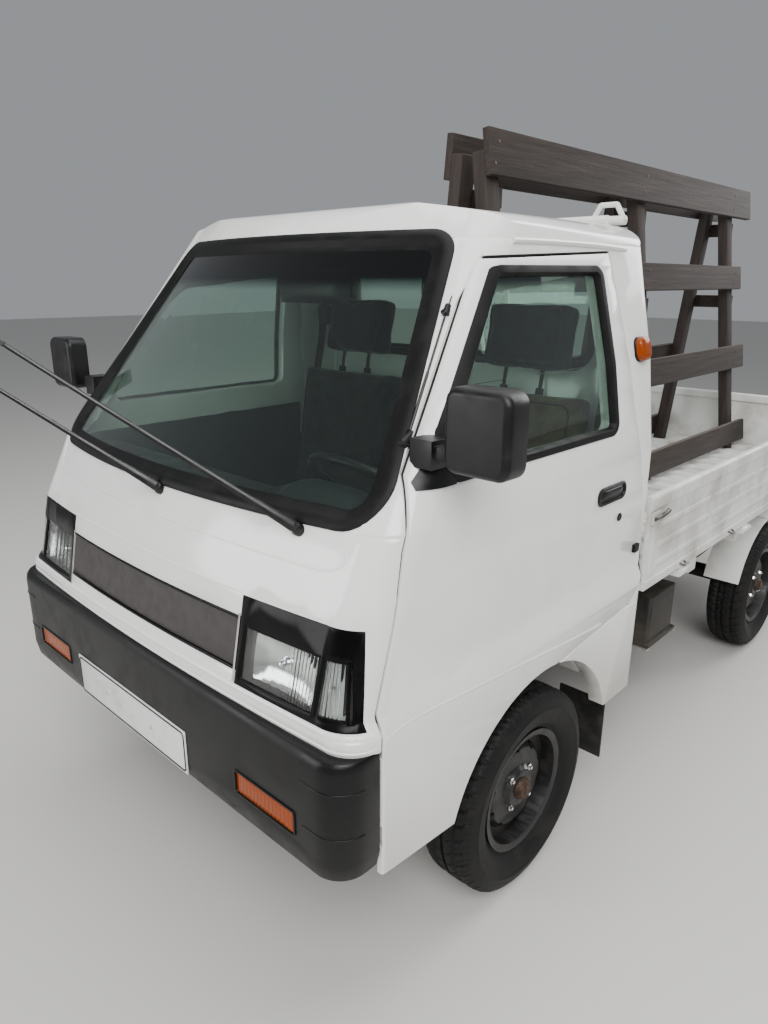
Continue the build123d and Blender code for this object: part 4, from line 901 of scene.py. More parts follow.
# the film is bright and faintly pearly, with dull patches of road film
plate_film = worn("white reflective film", "dcdedb", "b9b7ae", 70, 0.3, (0.3, 0.5), 1.5, 0.04)
plate_ink = new_finish("black plate ink", Base_Color=linear("101012"), Roughness=0.45)[0]
softened("number_plates", 0.8, plate_film)
for name, middle, face, outward in PLATES:

    def plate_face(x, z, height):
        """A point on the plate's outer face."""
        return truck(x, face + outward * height, z)

    rim_loop = rounded_loop(box_round(middle, *RIM_HALF), RIM_ROUND)
    put(name + "_plate_rim", [framed(*rim_loop, RIM_EDGE, plate_face)], plate_ink)
    put(name + "_plate_screws", [
        boss(plate_face, (middle[0] + apart, middle[1]), SCREW, 16) for apart in (-SCREW_APART, SCREW_APART)
    ], chrome)


# The wipers stand lifted off the glass: painted steel arms on splined pivots, each with a
# sprung bow that holds the rubber blade in four claws. The directions are those of the CAD arms.
WIPER_PIVOTS = ((464, 128, 1070), (28, 92, 1072))
WIPER_LEAN = math.radians(54.6)
WIPER_LIFT = math.radians(55)
WIPER_UP = math.radians(12)
WIPER_REACH = 440
BLADE_HALF = 200
# the arm tapers: place along it, width and thickness
ARM = ((0, 22, 13), (30, 20, 13), (90, 17, 10), (110, 13, 7), (260, 10, 5), (420, 8, 4), (452, 8, 4))
# the pivot's base and its spindle: heights off the glass, and the radius at each
PIVOT_BASE = ((-24, 19), (-12, 15))
SPINDLE = ((-22, 13), (8, 13), (15, 9))
# the long bow and the two yokes under it: width and thickness, level of the middle and drop
BOW = (7, 3)
BOW_ARCH = (3, 9)
YOKES = (-100, 100)
YOKE_HALF = 72
YOKE = (6, 3)
YOKE_ARCH = (-4, 5)
# the claws: half a claw's length, its width, thickness and level
CLAWS = (-172, -28, 28, 172)
CLAW_HALF = 6
CLAW = (9, 7, -9.5)
# the rubber's back and its lip: width, thickness and level
RUBBER_BACK = (7, 4, -10.5)
RUBBER_LIP = (2, 6, -14.5)

in_glass = np.array([
    -math.cos(WIPER_UP), math.sin(WIPER_UP) * math.cos(WIPER_LEAN), math.sin(WIPER_UP) * math.sin(WIPER_LEAN),
])
off_glass = np.array([0, -math.sin(WIPER_LEAN), math.cos(WIPER_LEAN)])
out_along = in_glass * math.cos(WIPER_LIFT) + off_glass * math.sin(WIPER_LIFT)
blade_up = off_glass * math.cos(WIPER_LIFT) - in_glass * math.sin(WIPER_LIFT)


def bar(start, way, up, places, width, height, centre=0.0):
    """A rectangular bar with softened corners: at each place along it, its width, height and level.

    point(i, j) = start + place(i) way + level(i) up + width(i) ring(j, 0) side + height(i) ring(j, 1) up.
    """
    places, width, height, centre = np.broadcast_arrays(
        *(np.asarray(values, float) for values in (places, width, height, centre)))
    side = np.cross(up, way)
    ring = np.array((
        (-1, -0.6), (-0.7, -1), (0.7, -1), (1, -0.6), (1, 0.6), (0.7, 1), (-0.7, 1), (-1, 0.6),
    )) / 2
    middle = np.asarray(start, float) + places[:, None] * way + centre[:, None] * up
    points = (middle[:, None] + ring[None, :, :1] * width[:, None, None] * side
              + ring[None, :, 1:] * height[:, None, None] * up)
    return tube(truck(points[..., 0], points[..., 1], points[..., 2]))


def pipe(places, radius, sides=10):
    """A round bar along places in millimetres: point(i, j) = line(i) + radius(i) (side cos t + up sin t).

    side and up lie across the line's run, and both come from a direction that leans off its start.
    """
    line = np.asarray(places, float)
    run = along(line)
    lean = np.array((0.31, 0.17, 0.93)) if abs(run[0, 2]) < 0.8 else np.array((0.93, 0.31, 0.17))
    side = np.cross(run, lean)
    side /= np.linalg.norm(side, axis=1, keepdims=True)
    up = np.cross(side, run)
    turn = np.linspace(0, 2 * math.pi, sides, endpoint=False)
    radius = np.broadcast_to(np.asarray(radius, float), (len(line),))[:, None, None]
    ring = side[:, None] * np.cos(turn)[:, None] + up[:, None] * np.sin(turn)[:, None]
    points = line[:, None] + radius * ring
    return tube(truck(points[..., 0], points[..., 1], points[..., 2]))


# the arms' paint is satin, and stone dust has greyed it in patches
wiper_black = worn("satin black wiper paint", "0b0b0b", "1c1b1a", 40, 0.4, (0.3, 0.5), None)
arm_shapes, blade_shapes = [], []
for pivot in WIPER_PIVOTS:
    pivot = np.array(pivot, float)
    arm_shapes.append(bar(pivot, out_along, blade_up, *zip(*ARM)))
    for rings in (SPINDLE, PIVOT_BASE):
        heights, radii = zip(*rings)
        arm_shapes.append(pipe([pivot + off_glass * height for height in heights], radii, 18))
    tip = pivot + out_along * WIPER_REACH
    reach = np.linspace(-BLADE_HALF, BLADE_HALF, 41)
    # a bow is a parabola: level = middle - drop * (place / half) ^ 2
    arch = BOW_ARCH[0] - BOW_ARCH[1] * (reach / BLADE_HALF) ** 2
    arm_shapes.append(bar(tip, out_along, blade_up, reach[4:-4], *BOW, arch[4:-4]))
    for middle in YOKES:
        part = np.linspace(-YOKE_HALF, YOKE_HALF, 15)
        bow = YOKE_ARCH[0] - YOKE_ARCH[1] * (part / YOKE_HALF) ** 2
        arm_shapes.append(bar(tip + out_along * middle, out_along, blade_up, part, *YOKE, bow))
    for claw in CLAWS:
        arm_shapes.append(bar(tip + out_along * claw, out_along, blade_up, (-CLAW_HALF, CLAW_HALF), *CLAW))
    blade_shapes.append(bar(tip, out_along, blade_up, reach, *RUBBER_BACK))
    blade_shapes.append(bar(tip, out_along, blade_up, reach, *RUBBER_LIP))
put("wiper_arms", arm_shapes, wiper_black, replaced=("wipers",))
put("wiper_rubbers", blade_shapes, rubber)


# The radio aerial: a telescopic rod clipped along the left windscreen pillar on two black feet.
AERIAL = ((597, 284, 1244), (550, 446, 1464), (545, 468, 1492))
PILLAR_OUT = (0.82, -0.5, 0.28)
AERIAL_CLEAR = 7
# the rod's two visible stages, as shares of the run from foot to clip, with their radius
STAGES = ((0.02, 0.5, 3), (0.5, 1.0, 2.2))
# handling and rain have dulled the rod's plating to grey
aerial_steel = new_finish("dull aerial steel", Base_Color=linear("4c4a48"), Metallic=0.9, Roughness=0.35)[0]
pillar_out = np.array(PILLAR_OUT)
foot, clip, tip = (np.array(place, float) + pillar_out * AERIAL_CLEAR for place in AERIAL)
rise = clip - foot
put("aerial_rod", [
    *(pipe([foot + rise * low, foot + rise * high], (radius, radius)) for low, high, radius in STAGES),
    pipe([clip, tip], (1.4, 1.4)),
], aerial_steel)
base = [foot - rise * 0.05 - pillar_out * 16, foot - rise * 0.03, foot + rise * 0.05 + pillar_out * 3]
put("aerial_feet", [
    pipe(base, (15, 12, 6), 14),
    pipe([clip - pillar_out * 16, clip + pillar_out * 5], (8, 6), 14),
    pipe([clip - rise * 0.03, clip + rise * 0.05], (8, 6), 12),
], black_plastic)


# The wheels: 12-inch pressed steel rims in satin black, four bright nuts and a hub that rust has
# browned. The radial tyres have blocks between three grooves, and fine siping at the shoulders.
AXLE_HEIGHT = 272
TYRE_BEAD = 47
TYRE_INNER = 152.0
TREAD_STEPS = 344
TREAD_PITCH = 8
WHEELS = (
    ("front_left", 610, 682), ("rear_left", 605, 2522),
    ("front_right", -610, 682), ("rear_right", -605, 2522),
)
# half a tyre's outline from the bead to the crown: distance from the axle, and from its middle
TYRE_OUTLINE = (
    (152, 45), (160, 48), (167, 50.5), (172, 51.5), (176, 56), (184, 64), (196, 70.5), (212, 75.2),
    (222, 76.2), (224, 77.2), (228, 77.2), (230, 75.8), (242, 73.5), (254, 68.5), (262, 63), (266, 60),
    (268.5, 55), (270, 49), (270.5, 44), (270.8, 38), (271.1, 30), (271.1, 27), (271.3, 26),
    (271.3, 20), (271.6, 12), (271.7, 5), (271.7, 4), (271.8, 0),
)
GROOVES = (0, 28.5, -28.5)
GROOVE_HALF = 4.4
# depths of the grooves, of the cuts between blocks and of the fine cuts between those
TREAD_DEPTHS = (6.5, 5.5, 2.5)
# the tread lies above this radius, within this distance of the tyre's middle
TREAD_FROM = 261
TREAD_HALF = 66
# a cut slants by this many steps a millimetre; cuts and fine cuts begin this far from the middle
SLANT = 0.11
CUT_FROM = 9
FINE_FROM = 33
# rings of (radius, distance outwards from the wheel's middle) for a nut and for the hub's cap
NUT = ((11.5, 28), (11.5, 29.5), (10, 30), (9.6, 41), (8, 43), (5, 43), (5, 48), (0.01, 48))
NUT_CIRCLE = 57
HUB_CAP = ((30, 38), (30, 46), (27, 50), (24, 58), (19, 62), (0.01, 63))


def wheel_lathe(middle, rings, turn):
    """Rings of (radius r, distance outwards) about an axle along X: y = y0 + r cos t, z = z0 + r sin t."""
    radius, out = (np.asarray(part, float)[:, None] for part in zip(*rings))
    x = middle[0] + math.copysign(1, middle[0]) * out
    points = truck(x, middle[1] + radius * np.cos(turn), middle[2] + radius * np.sin(turn))
    return points.reshape(-1, 3), grid_faces(len(rings), len(turn), ring_cols=True).tolist()


# dust dulls the rubber to a dark grey, and rust stains the satin paint of the rims
tyre_rubber = worn("dusty tyre rubber", "0a0a0a", "23211e", 70, 0.35, (0.62, 0.85), 3, 0.2,
                   Specular_IOR_Level=0.3)
rim_black = worn("satin black wheel paint", "0b0b0c", "241f1b", 60, 0.35, (0.38, 0.7), 3, 0.08)
hub_rust = worn("rust-browned hub", "4a3524", "2a1d14", 18, 0.55, (0.5, 0.8), 2, 0.4, Metallic=0.3)
half_line = np.array(TYRE_OUTLINE, float)
outline = np.concatenate([half_line, half_line[-2::-1] * (1, -1)])
inner = np.stack([np.full(9, TYRE_INNER), np.linspace(-TYRE_BEAD + 4, TYRE_BEAD - 4, 9)], 1)
outline = np.concatenate([outline, inner])
turn = np.arange(TREAD_STEPS)[None, :]
spoke = 2 * math.pi * turn / TREAD_STEPS
radius, across = outline[:, :1], outline[:, 1:]
on_tread = (radius > TREAD_FROM) & (np.abs(across) < TREAD_HALF)
groove = np.min([np.abs(across - place) for place in GROOVES], axis=0) < GROOVE_HALF
# blocks: a cut across the tread at every pitch, slanted, with a finer and shallower one between
phase = (turn + np.round(np.abs(across) * SLANT)) % TREAD_PITCH
cut = (phase == 0) & (np.abs(across) > CUT_FROM)
fine = (phase == TREAD_PITCH // 2) & (np.abs(across) > FINE_FROM)
depth = np.select([groove, cut, fine], TREAD_DEPTHS, 0.0) * on_tread
nut_turn = np.linspace(0, 2 * math.pi, 6, endpoint=False)
cap_turn = np.linspace(0, 2 * math.pi, 40, endpoint=False)
nut_spots = math.pi / 4 + np.arange(4) * math.pi / 2
for wheel, middle_x, middle_y in WHEELS:
    body = wheel + "_wheel"
    hand = math.copysign(1, middle_x)
    points = truck(
        middle_x + hand * across, middle_y + (radius - depth) * np.cos(spoke),
        AXLE_HEIGHT + (radius - depth) * np.sin(spoke),
    )
    tread = (points.reshape(-1, 3), grid_faces(*points.shape[:2], True, True).tolist())
    put(wheel + "_tread", [tread], tyre_rubber, body, replaced=(wheel + "_tyre",), sharp=28)
    softened(wheel + "_rim", 1.6, rim_black)
    nuts = []
    for spot in nut_spots:
        centre = (middle_x, middle_y + NUT_CIRCLE * math.cos(spot), AXLE_HEIGHT + NUT_CIRCLE * math.sin(spot))
        nuts.append(wheel_lathe(centre, NUT, nut_turn))
    put(wheel + "_nuts", nuts, chrome, body)
    cap = wheel_lathe((middle_x, middle_y, AXLE_HEIGHT), HUB_CAP, cap_turn)
    put(wheel + "_hub_cap", [cap], hub_rust, body)


# The frame and running gear: welded box rails in chassis black, grimed by the road, cast iron,
# spring steel and a heat-browned exhaust. They are seen only in slices between cab, bed and floor.
STRAPS_Y = (1445, 1645)
# a strap: its inner end, its length, half its width, its underside and its thickness
STRAP = (372, 266, 14, 366, 5)
# brown road grime over black paint, oil on the castings, rust on springs and exhaust
frame_black = worn("road-grimed chassis paint", "121211", "3b352d", 120, 0.55, (0.45, 0.8), 4, 0.3)
cast_iron = worn("oily cast iron", "35322e", "15130f", 50, 0.5, (0.4, 0.75), 5, 0.6, Metallic=0.35)
spring_steel = worn("rusting spring steel", "232120", "4a3423", 35, 0.5, (0.45, 0.8), 3, 0.4, Metallic=0.3)
exhaust_steel = worn("heat-browned exhaust steel", "6b5d50", "3b2a20", 60, 0.5, (0.4, 0.75), 2, 0.2,
                     Metallic=0.6)
flap_rubber = worn("dusty mud-flap rubber", "141414", "35312b", 60, 0.45, (0.55, 0.85), 3, 0.25)
for name in ("chassis_frame", "battery_box", "fuel_tank"):
    softened(name, 2.5, frame_black)
for name in ("engine_block", "rear_axle", "left_knuckle", "right_knuckle", "propshaft"):
    softened(name, 2.0, cast_iron)
for name in ("front_suspension", "rear_springs"):
    softened(name, 1.2, spring_steel)
softened("exhaust", 1.0, exhaust_steel)
softened("mud_flaps", 1.2, flap_rubber)
# the battery's box stands out black on a strip of light bracket steel, bolted to the rail
bracket = worn("dusty galvanised bracket", "b9b7b0", "6e675c", 40, 0.5, (0.35, 0.7), 3, 0.2,
               Metallic=0.5)
inner_end, length, half_width, low, thick = STRAP
u, v = np.meshgrid(np.linspace(0, length, 8), np.linspace(-half_width, half_width, 3))
put("battery_straps", [
    slab(truck(inner_end + u, y + v, low), truck(inner_end + u, y + v, low + thick)) for y in STRAPS_Y
], bracket)


# The bed: a ribbed floor, drop sides and a headboard of light grey-white painted steel, hosed
# but never polished, so grey dust lies in its corners. The drop sides have pressed beads, a
# lever latch at each end and rope hooks below.
BED = (1210, 3485)
GATE_FACE = 695
# the sheet between the beads lies this much behind the drop side's face
GATE_RECESS = 4
# heights of the long beads and their width and rise, then those of the upright ones
GATE_BEADS = (730, 790, 850)
LONG_BEAD = (22, 3.4)
UPRIGHT_BEAD = (26, 3.2)
UPRIGHTS_Z = (712, 868)
# how far the long beads, the first upright one and the rear latch lie in from the sheet's end
LONG_IN = 70
UPRIGHT_IN = 36
LATCH_IN = 30
CROSS_HALF = 600
LATCH = (1240, 886)
KEEP_HALF = (24, 17)
KEEP_FACES = (7.5, 0.5)
LEVER_RADIUS = 6.5
HOOK_RADIUS = 3.5
# a lever's line: height off the sheet, place from the latch towards the middle, height over it
LEVER = ((7.5, -18, 0), (14, 4, 2), (15, 48, 7), (13, 66, 10))
HOOKS_Y = (1480, 1900, 2340, 2780, 3220)
# a hook's line: place across the truck, along from its middle, and height
HOOK = ((690, -16, 684), (703, -15, 682), (706, -6, 676), (706, 6, 676), (703, 15, 682), (690, 16, 684))

# the paint is chalky and scuffed, with grey dust in soft patches as wide as a hand
bed_enamel = worn("scuffed bed enamel", "dededa", "a7a39a", 240, 0.42, (0.28, 0.6), 5, 0.06)
for name in (
    "bed_floor", "bed_sills", "bed_runners", "rear_wheel_arches",
    "left_gate", "right_gate", "tailgate", "headboard",
):
    softened(name, 1.8, bed_enamel)
# latches and hooks are plated steel, dulled, and brown where the plating is gone
dark_steel = worn("dull latch steel", "7c7a74", "3a342c", 25, 0.5, (0.35, 0.65), 2, 0.2, Metallic=0.7)


def gate_skin(y, z, height):
    """A point on the left drop side's outer sheet."""
    return truck(GATE_FACE - GATE_RECESS + height, y, z)


def long_bead(level):
    """A level bead along the drop side."""
    line = np.linspace(BED[0] + LONG_IN, BED[1] - LONG_IN, 40)[:, None]
    return bead(lambda a, b: gate_skin(line + 0 * a, level + a, b), *LONG_BEAD)


def upright_bead(y):
    """A bead up the drop side."""
    line = np.linspace(*UPRIGHTS_Z, 14)[:, None]
    return bead(lambda a, b: gate_skin(y + a, line + 0 * a, b), *UPRIGHT_BEAD)


def cross_bead(level):
    """A level bead across the tailgate."""
    line = np.linspace(-CROSS_HALF, CROSS_HALF, 40)[:, None]
    return bead(lambda a, b: truck(line + 0 * a, BED[1] - GATE_RECESS + b, level + a), *LONG_BEAD)


beads = [long_bead(level) for level in GATE_BEADS]
beads += [upright_bead(y) for y in np.linspace(BED[0] + UPRIGHT_IN, BED[1] - UPRIGHT_IN, 6)]
latches, keeps = [], []
half_y, half_z = KEEP_HALF
for y, way in ((LATCH[0], 1), (BED[1] - LATCH_IN, -1)):
    keeps.append(sheet_on(
        gate_skin, y - half_y, y + half_y, LATCH[1] - half_z, LATCH[1] + half_z, KEEP_FACES, (6, 6)))
    lever = [(GATE_FACE - GATE_RECESS + out, y + way * place, LATCH[1] + up) for out, place, up in LEVER]
    latches.append(pipe(smooth_line(lever, 14), LEVER_RADIUS))
hooks = [
    pipe(smooth_line([(x, y + place, z) for x, place, z in HOOK], 18), HOOK_RADIUS) for y in HOOKS_Y
]
for side, hand in SIDES:
    gate = side + "_gate"
    put(side + "_gate_beads", handed(beads, hand), bed_enamel, gate)
    put(side + "_gate_keeps", handed(keeps, hand), bed_enamel, gate)
    put(side + "_gate_latches", handed(latches, hand), dark_steel, gate)
    put(side + "_rope_hooks", handed(hooks, hand), dark_steel, gate)
put("tailgate_beads", [cross_bead(level) for level in GATE_BEADS], bed_enamel, "tailgate")


# The tail lamps: red acrylic boxes under the bed's end. Three chambers show as raised blocks in
# their face, clear, red and amber, each with upright ribs.
TAIL_BLOCKS = (("clear", 402, 470), ("red", 474, 535), ("amber", 539, 598))
TAIL_Z = (506, 574)
TAIL_FACE = 3455
TAIL_RIB = 9
# light sinks a little way into both acrylics, so that they look deep rather than painted
red = new_finish(
    "red acrylic lens", Base_Color=linear("8c0a08"), Roughness=0.14, Transmission_Weight=0.12)[0]
clear = new_finish(
    "frosted clear lens", Base_Color=linear("e9e7e2"), Roughness=0.2, Transmission_Weight=0.1)[0]
softened("tail_lamps", 3, red)
for (name, low_x, high_x), tint in zip(TAIL_BLOCKS, (clear, red, amber)):
    u, v = np.meshgrid(np.linspace(low_x, high_x, 30), np.linspace(*TAIL_Z, 12))
    # height = 4.2 + 0.9 |sin(pi x / rib)|
    ridges = 4.2 + np.abs(np.sin(u * math.pi / TAIL_RIB)) * 0.9
    block = slab(truck(u, TAIL_FACE + ridges, v), truck(u, TAIL_FACE, v))
    put(name + "_tail_lens", both([block]), tint)


# The carrying rack: rough-sawn softwood stained black-brown by weather, with a painted highlight that makes
# faces looking up paler, as if lit from above. Its planks are nailed to leaning legs by hand, two nails at
# each leg.
GRAIN = (("120d0b", 0.0), ("241b17", 0.45), ("3a2f29", 0.75), ("5a504a", 1.0))
# the pattern's scale across the fibre and along it. With the noise's own scale of 1.6 a streak is
# about 18 mm wide and 390 mm long; real fibres are finer, and these are wide enough to show.
FIBRE = (34, 1.6)
# each side's top and foot, across the truck, and which way its planks lie
RACK_SIDES = ((33, 202, 1), (-89, -201, -1))
RACK_TOP = 1900
RACK_FOOT = 690
LEGS_Y = (1285, 2315, 3310)
# each row of planks: its foot's height and its depth
PLANK_PLACES = ((700, 106), (1085, 115), (1480, 110), (1825, 135))
PLANK = 25
# a nail's share of the plank's depth, and its shift along it
NAIL_SPOTS = ((0.25, -12), (0.72, 14))
# from inside the wood to the top of the head, and the radius at each
NAIL = ((-2, 5.5), (1.4, 5.0))


def timber(name, scale):
    """Weathered wood: streaks of noise drawn out along the fibre, with faces that look up painted paler as a
    painted highlight.
    """
    finish, tree, shader = new_finish(name, Roughness=0.75)
    place = add(tree, "TexCoord").outputs["Object"]
    fibre = add(tree, "Mapping", {"Vector": place, "Scale": scale})
    streaks = add(tree, "TexNoise", {
        "Vector": fibre.outputs["Vector"], "Scale": 1.6, "Detail": 8.0, "Roughness": 0.68,
    })
    # painted highlight: faces that look up move up to 0.4 further along the ramp, so they are paler as if lit
    # from above
    normal = add(tree, "SeparateXYZ", {"Vector": add(tree, "NewGeometry").outputs["Normal"]})
    top = add(tree, "MapRange", {
        "Value": normal.outputs["Z"], "From Min": 0.4, "From Max": 0.9, "To Min": 0.0, "To Max": 0.4,
    })
    level = add(tree, "Math", {0: streaks.outputs["Fac"], 1: top.outputs["Result"]}, operation="ADD")
    ramp = add(tree, "ValToRGB", {"Fac": level.outputs["Value"]})
    ramp.color_ramp.elements[0].color = linear(GRAIN[0][0])
    ramp.color_ramp.elements[1].color = linear(GRAIN[-1][0])
    for code, spot in GRAIN[1:-1]:
        ramp.color_ramp.elements.new(spot).color = linear(code)
    tree.links.new(ramp.outputs["Color"], shader.inputs["Base Color"])
    rough = add(tree, "Bump", {"Height": streaks.outputs["Fac"], "Strength": 0.75, "Distance": 0.004})
    tree.links.new(rough.outputs["Normal"], shader.inputs["Normal"])
    return finish


plank_timber = timber("weathered dark timber", (FIBRE[0], FIBRE[1], FIBRE[0]))
leg_timber = timber("weathered dark timber, upright grain", (FIBRE[0], FIBRE[0], FIBRE[1]))
softened("rack_planks", 2.4, plank_timber)
softened("rack_legs", 2.4, leg_timber)
softened("rack_ties", 2.0, plank_timber)
# rust has browned the nails' heads
nail_steel = new_finish("rusty nail heads", Base_Color=linear("5a4331"), Metallic=0.6, Roughness=0.55)[0]
nails = []
for top_x, foot_x, out in RACK_SIDES:
    lean = math.atan2(foot_x - top_x, RACK_TOP - RACK_FOOT)
    across = np.array((math.cos(lean), 0, math.sin(lean)))
    upwards = np.array((-math.sin(lean), 0, math.cos(lean)))
    for low, deep in PLANK_PLACES:
        for y in LEGS_Y:
            for share, shift in NAIL_SPOTS:
                spot = np.array((top_x, y + shift, RACK_TOP)) + upwards * (low + deep * share - RACK_TOP)
                face = spot + across * out * PLANK
                ends, radii = zip(*NAIL)
                nails.append(pipe([face + across * out * end for end in ends], radii, 12))
put("rack_nails", nails, nail_steel)


# Round each door opening runs a black sponge-rubber weatherstrip, seen as the dark line of the
# seam, and low on the door's skin a pressed line leads back to the rear seam.
DOOR_EDGE = (
    (118, 700), (118, 770), (200, 1060), (251, 1183), (534, 1564), (1006, 1586), (1085, 1183), (1147, 956),
    (1180, 793), (1180, 705), (1120, 664), (900, 560),
)
DOOR_LINE = ((126, 717), (180, 730), (380, 710), (611, 687), (904, 656), (1168, 648))
# the line leaves the door at the first of these places, and is on the body after the second
DOOR_LINE_BREAK = (962, 1075)
STRIP = ((3.6, -3), (5.4, -3), (5.4, -15), (3.6, -15))
STRIP_STEP = 20
DOOR_BEAD = (6, 1.3)
strip_run = np.concatenate([
    np.linspace(a, b, max(2, int(math.dist(a, b) / STRIP_STEP)), endpoint=False)
    for a, b in zip(DOOR_EDGE, DOOR_EDGE[1:])
] + [[DOOR_EDGE[-1]]])
way = along(strip_run)
outwards = np.stack([-way[:, 1], way[:, 0]], 1)
strip_ring = np.array(STRIP)
places = strip_run[:, None] + outwards[:, None] * strip_ring[None, :, :1]
level = np.broadcast_to(strip_ring[:, 1], places.shape[:2])
strip = tube(on_side(places[..., 0], places[..., 1], level))
line = smooth_line(DOOR_LINE, 90)
line_way = along(line)


def crease_part(part):
    """A bead along one stretch of the pressed line, on the left side's skin."""
    y, z = line[part, :1], line[part, 1:]
    run_y, run_z = line_way[part, :1], line_way[part, 1:]
    return bead(lambda a, b: on_side(y - run_z * a, z + run_y * a, b + 0 * y), *DOOR_BEAD)


door_line = crease_part(line[:, 0] < DOOR_LINE_BREAK[0])
sill_line = crease_part(line[:, 0] > DOOR_LINE_BREAK[1])
for side, hand in SIDES:
    put(side + "_door_weatherstrip", handed([strip], hand), rubber)
    put(side + "_door_line", handed([door_line], hand), enamel, side + "_door")
    put(side + "_sill_line", handed([sill_line], hand), enamel)


# The dashboard: one moulding in dark blue-grey vinyl, with a hooded binnacle before the driver,
# demister slots along the windscreen. The wheel's thin rim is black urethane.
HOOD = ((190, 480), (262, 392))
HOOD_HIGH = 1092
# the hood's foot: its height in the middle, and how much it falls to the rear
HOOD_FOOT = (1022, 18)
SLOT_HALF = 95
SLOT_PITCH = 13
# the dashboard's top: its height, where it begins to fall, and by how much
DASH_TOP = (1078, 170, 0.175)
# each group of slots: its middle across the truck, and how far back its first slot lies
SLOT_GROUPS = ((-430, 212), (-150, 128), (150, 128), (430, 212))
softened("dashboard", 9, vinyl, parts=3)
softened("steering_wheel", 3, black_plastic, parts=3)
u, v = patch(16, 30)
# a low mound: height = foot + rise * (1 - |u|^6) * (1 - |v|^4), which gives it rounded shoulders
x = (HOOD[0][0] + HOOD[0][1]) / 2 + u * (HOOD[0][1] - HOOD[0][0]) / 2
y = (HOOD[1][0] + HOOD[1][1]) / 2 + v * (HOOD[1][1] - HOOD[1][0]) / 2
foot = HOOD_FOOT[0] - HOOD_FOOT[1] * v
rise = (HOOD_HIGH - foot) * (1 - np.abs(u) ** 6) * (1 - np.abs(v) ** 4)
put("instrument_hood", [slab(truck(x, y, foot + rise), truck(x, y, foot - 12))], vinyl)
slots = []
u, v = np.meshgrid(np.linspace(-SLOT_HALF, SLOT_HALF, 12), np.linspace(-3, 3, 3))
for middle, first in SLOT_GROUPS:
    for back in (first, first + SLOT_PITCH, first + 2 * SLOT_PITCH):
        level = DASH_TOP[0] - max(0, back - DASH_TOP[1]) * DASH_TOP[2]
        x, y = middle + u, back + v
        slots.append(slab(truck(x, y, level + 1.5), truck(x, y, level - 4)))
put("demister_slots", slots, black_plastic)


# The seats are foam under woven charcoal cloth, on a sheet-steel box. The driver's back has a
# worn olive cover with a brown pattern. Cloth is simulated on one cushion, back and headrest,
# and mirrored; the piping is laid on the result along the seam between top and side.
SEAT_X = 335
RECLINE = 10
# the back and the headrest lean about this place
HINGE = (SEAT_X, 936, 816)
PADS = (
    # name, pivot, size, lean, place from the pivot, greatest swelling, corner radius of the piping
    ("seat_cushion", (SEAT_X, 825, 757.5), (446, 426, 108), 0, (0, 0, 0), 9, 34),
    ("seat_back", HINGE, (434, 84, 424), RECLINE, (0, 50, 215), 8, 26),
    ("headrest", HINGE, (264, 74, 174), RECLINE, (0, 55, 575), 7, 26),
)
VOXEL = 9
PRESSURE = 4.0
CLOTH_STEPS = 20
# the piping runs at this share of the pad's width and height from its middle
PIPING = 0.43
PIPING_RADIUS = 2.6
POST_X = 60
# a headrest post along the leaning back: how far up from the hinge, and how far behind it
POST_LINE = ((405, 52), (470, 52), (540, 53))
POST_RADIUS = 5.5
COLLAR = (13, 11)


def applied(piece):
    """Puts the piece's modifiers into its mesh."""
    shaped = bpy.data.meshes.new_from_object(piece.evaluated_get(bpy.context.evaluated_depsgraph_get()))
    piece.modifiers.clear()
    old = piece.data
    piece.data = shaped
    bpy.data.meshes.remove(old)


def pad(name, size, place, cap):
    """A padded form: a rounded box, swollen by cloth pressure up to a cap in mm, then put in place."""
    work = bmesh.new()
    bmesh.ops.create_cube(work, size=1)
    bmesh.ops.scale(work, vec=[side * MM for side in size], verts=work.verts)
    bmesh.ops.bevel(
        work, geom=work.edges[:], offset=min(size) * 0.3 * MM, segments=4, profile=0.6, affect="EDGES")
    mesh = bpy.data.meshes.new(name)
    work.to_mesh(mesh)
    work.free()
    piece = bpy.data.objects.new(name, mesh)
    bpy.context.scene.collection.objects.link(piece)
    remesh = piece.modifiers.new("remesh", "REMESH")
    remesh.mode = "VOXEL"
    remesh.voxel_size = VOXEL * MM
    applied(piece)
    inflated(piece, cap)
    smooth = piece.modifiers.new("smooth", "SUBSURF")
    smooth.levels = smooth.render_levels = 1
    applied(piece)
    piece.data.transform(place)
    piece.data.polygons.foreach_set("use_smooth", np.ones(len(piece.data.polygons), bool))
    return piece


def inflated(piece, cap):
    """Simulates the cover under pressure from within, and keeps each point's way at most cap in mm."""
    start = np.empty(len(piece.data.vertices) * 3, np.float32)
    piece.data.vertices.foreach_get("co", start)
    soft = piece.modifiers.new("cloth", "CLOTH")
    soft.settings.use_pressure = True
    soft.settings.uniform_pressure_force = PRESSURE
    soft.settings.effector_weights.gravity = 0.0
    soft.point_cache.frame_start = 1
    soft.point_cache.frame_end = CLOTH_STEPS
    for step in range(1, CLOTH_STEPS + 1):
        bpy.context.scene.frame_set(step)
    applied(piece)
    bpy.context.scene.frame_set(1)
    end = np.empty_like(start)
    piece.data.vertices.foreach_get("co", end)
    start, end = start.reshape(-1, 3), end.reshape(-1, 3)
    gone = end - start
    far = np.linalg.norm(gone, axis=1, keepdims=True)
    capped = start + gone * np.minimum(1, cap * MM / np.maximum(far, 1e-9))
    piece.data.vertices.foreach_set("co", capped.ravel())


def twin(piece, name):
    """The same piece mirrored to the truck's right."""
    mesh = piece.data.copy()
    mesh.transform(Matrix.Scale(-1, 4, (1, 0, 0)))
    mesh.flip_normals()
    other = bpy.data.objects.new(name, mesh)
    bpy.context.scene.collection.objects.link(other)
    return other


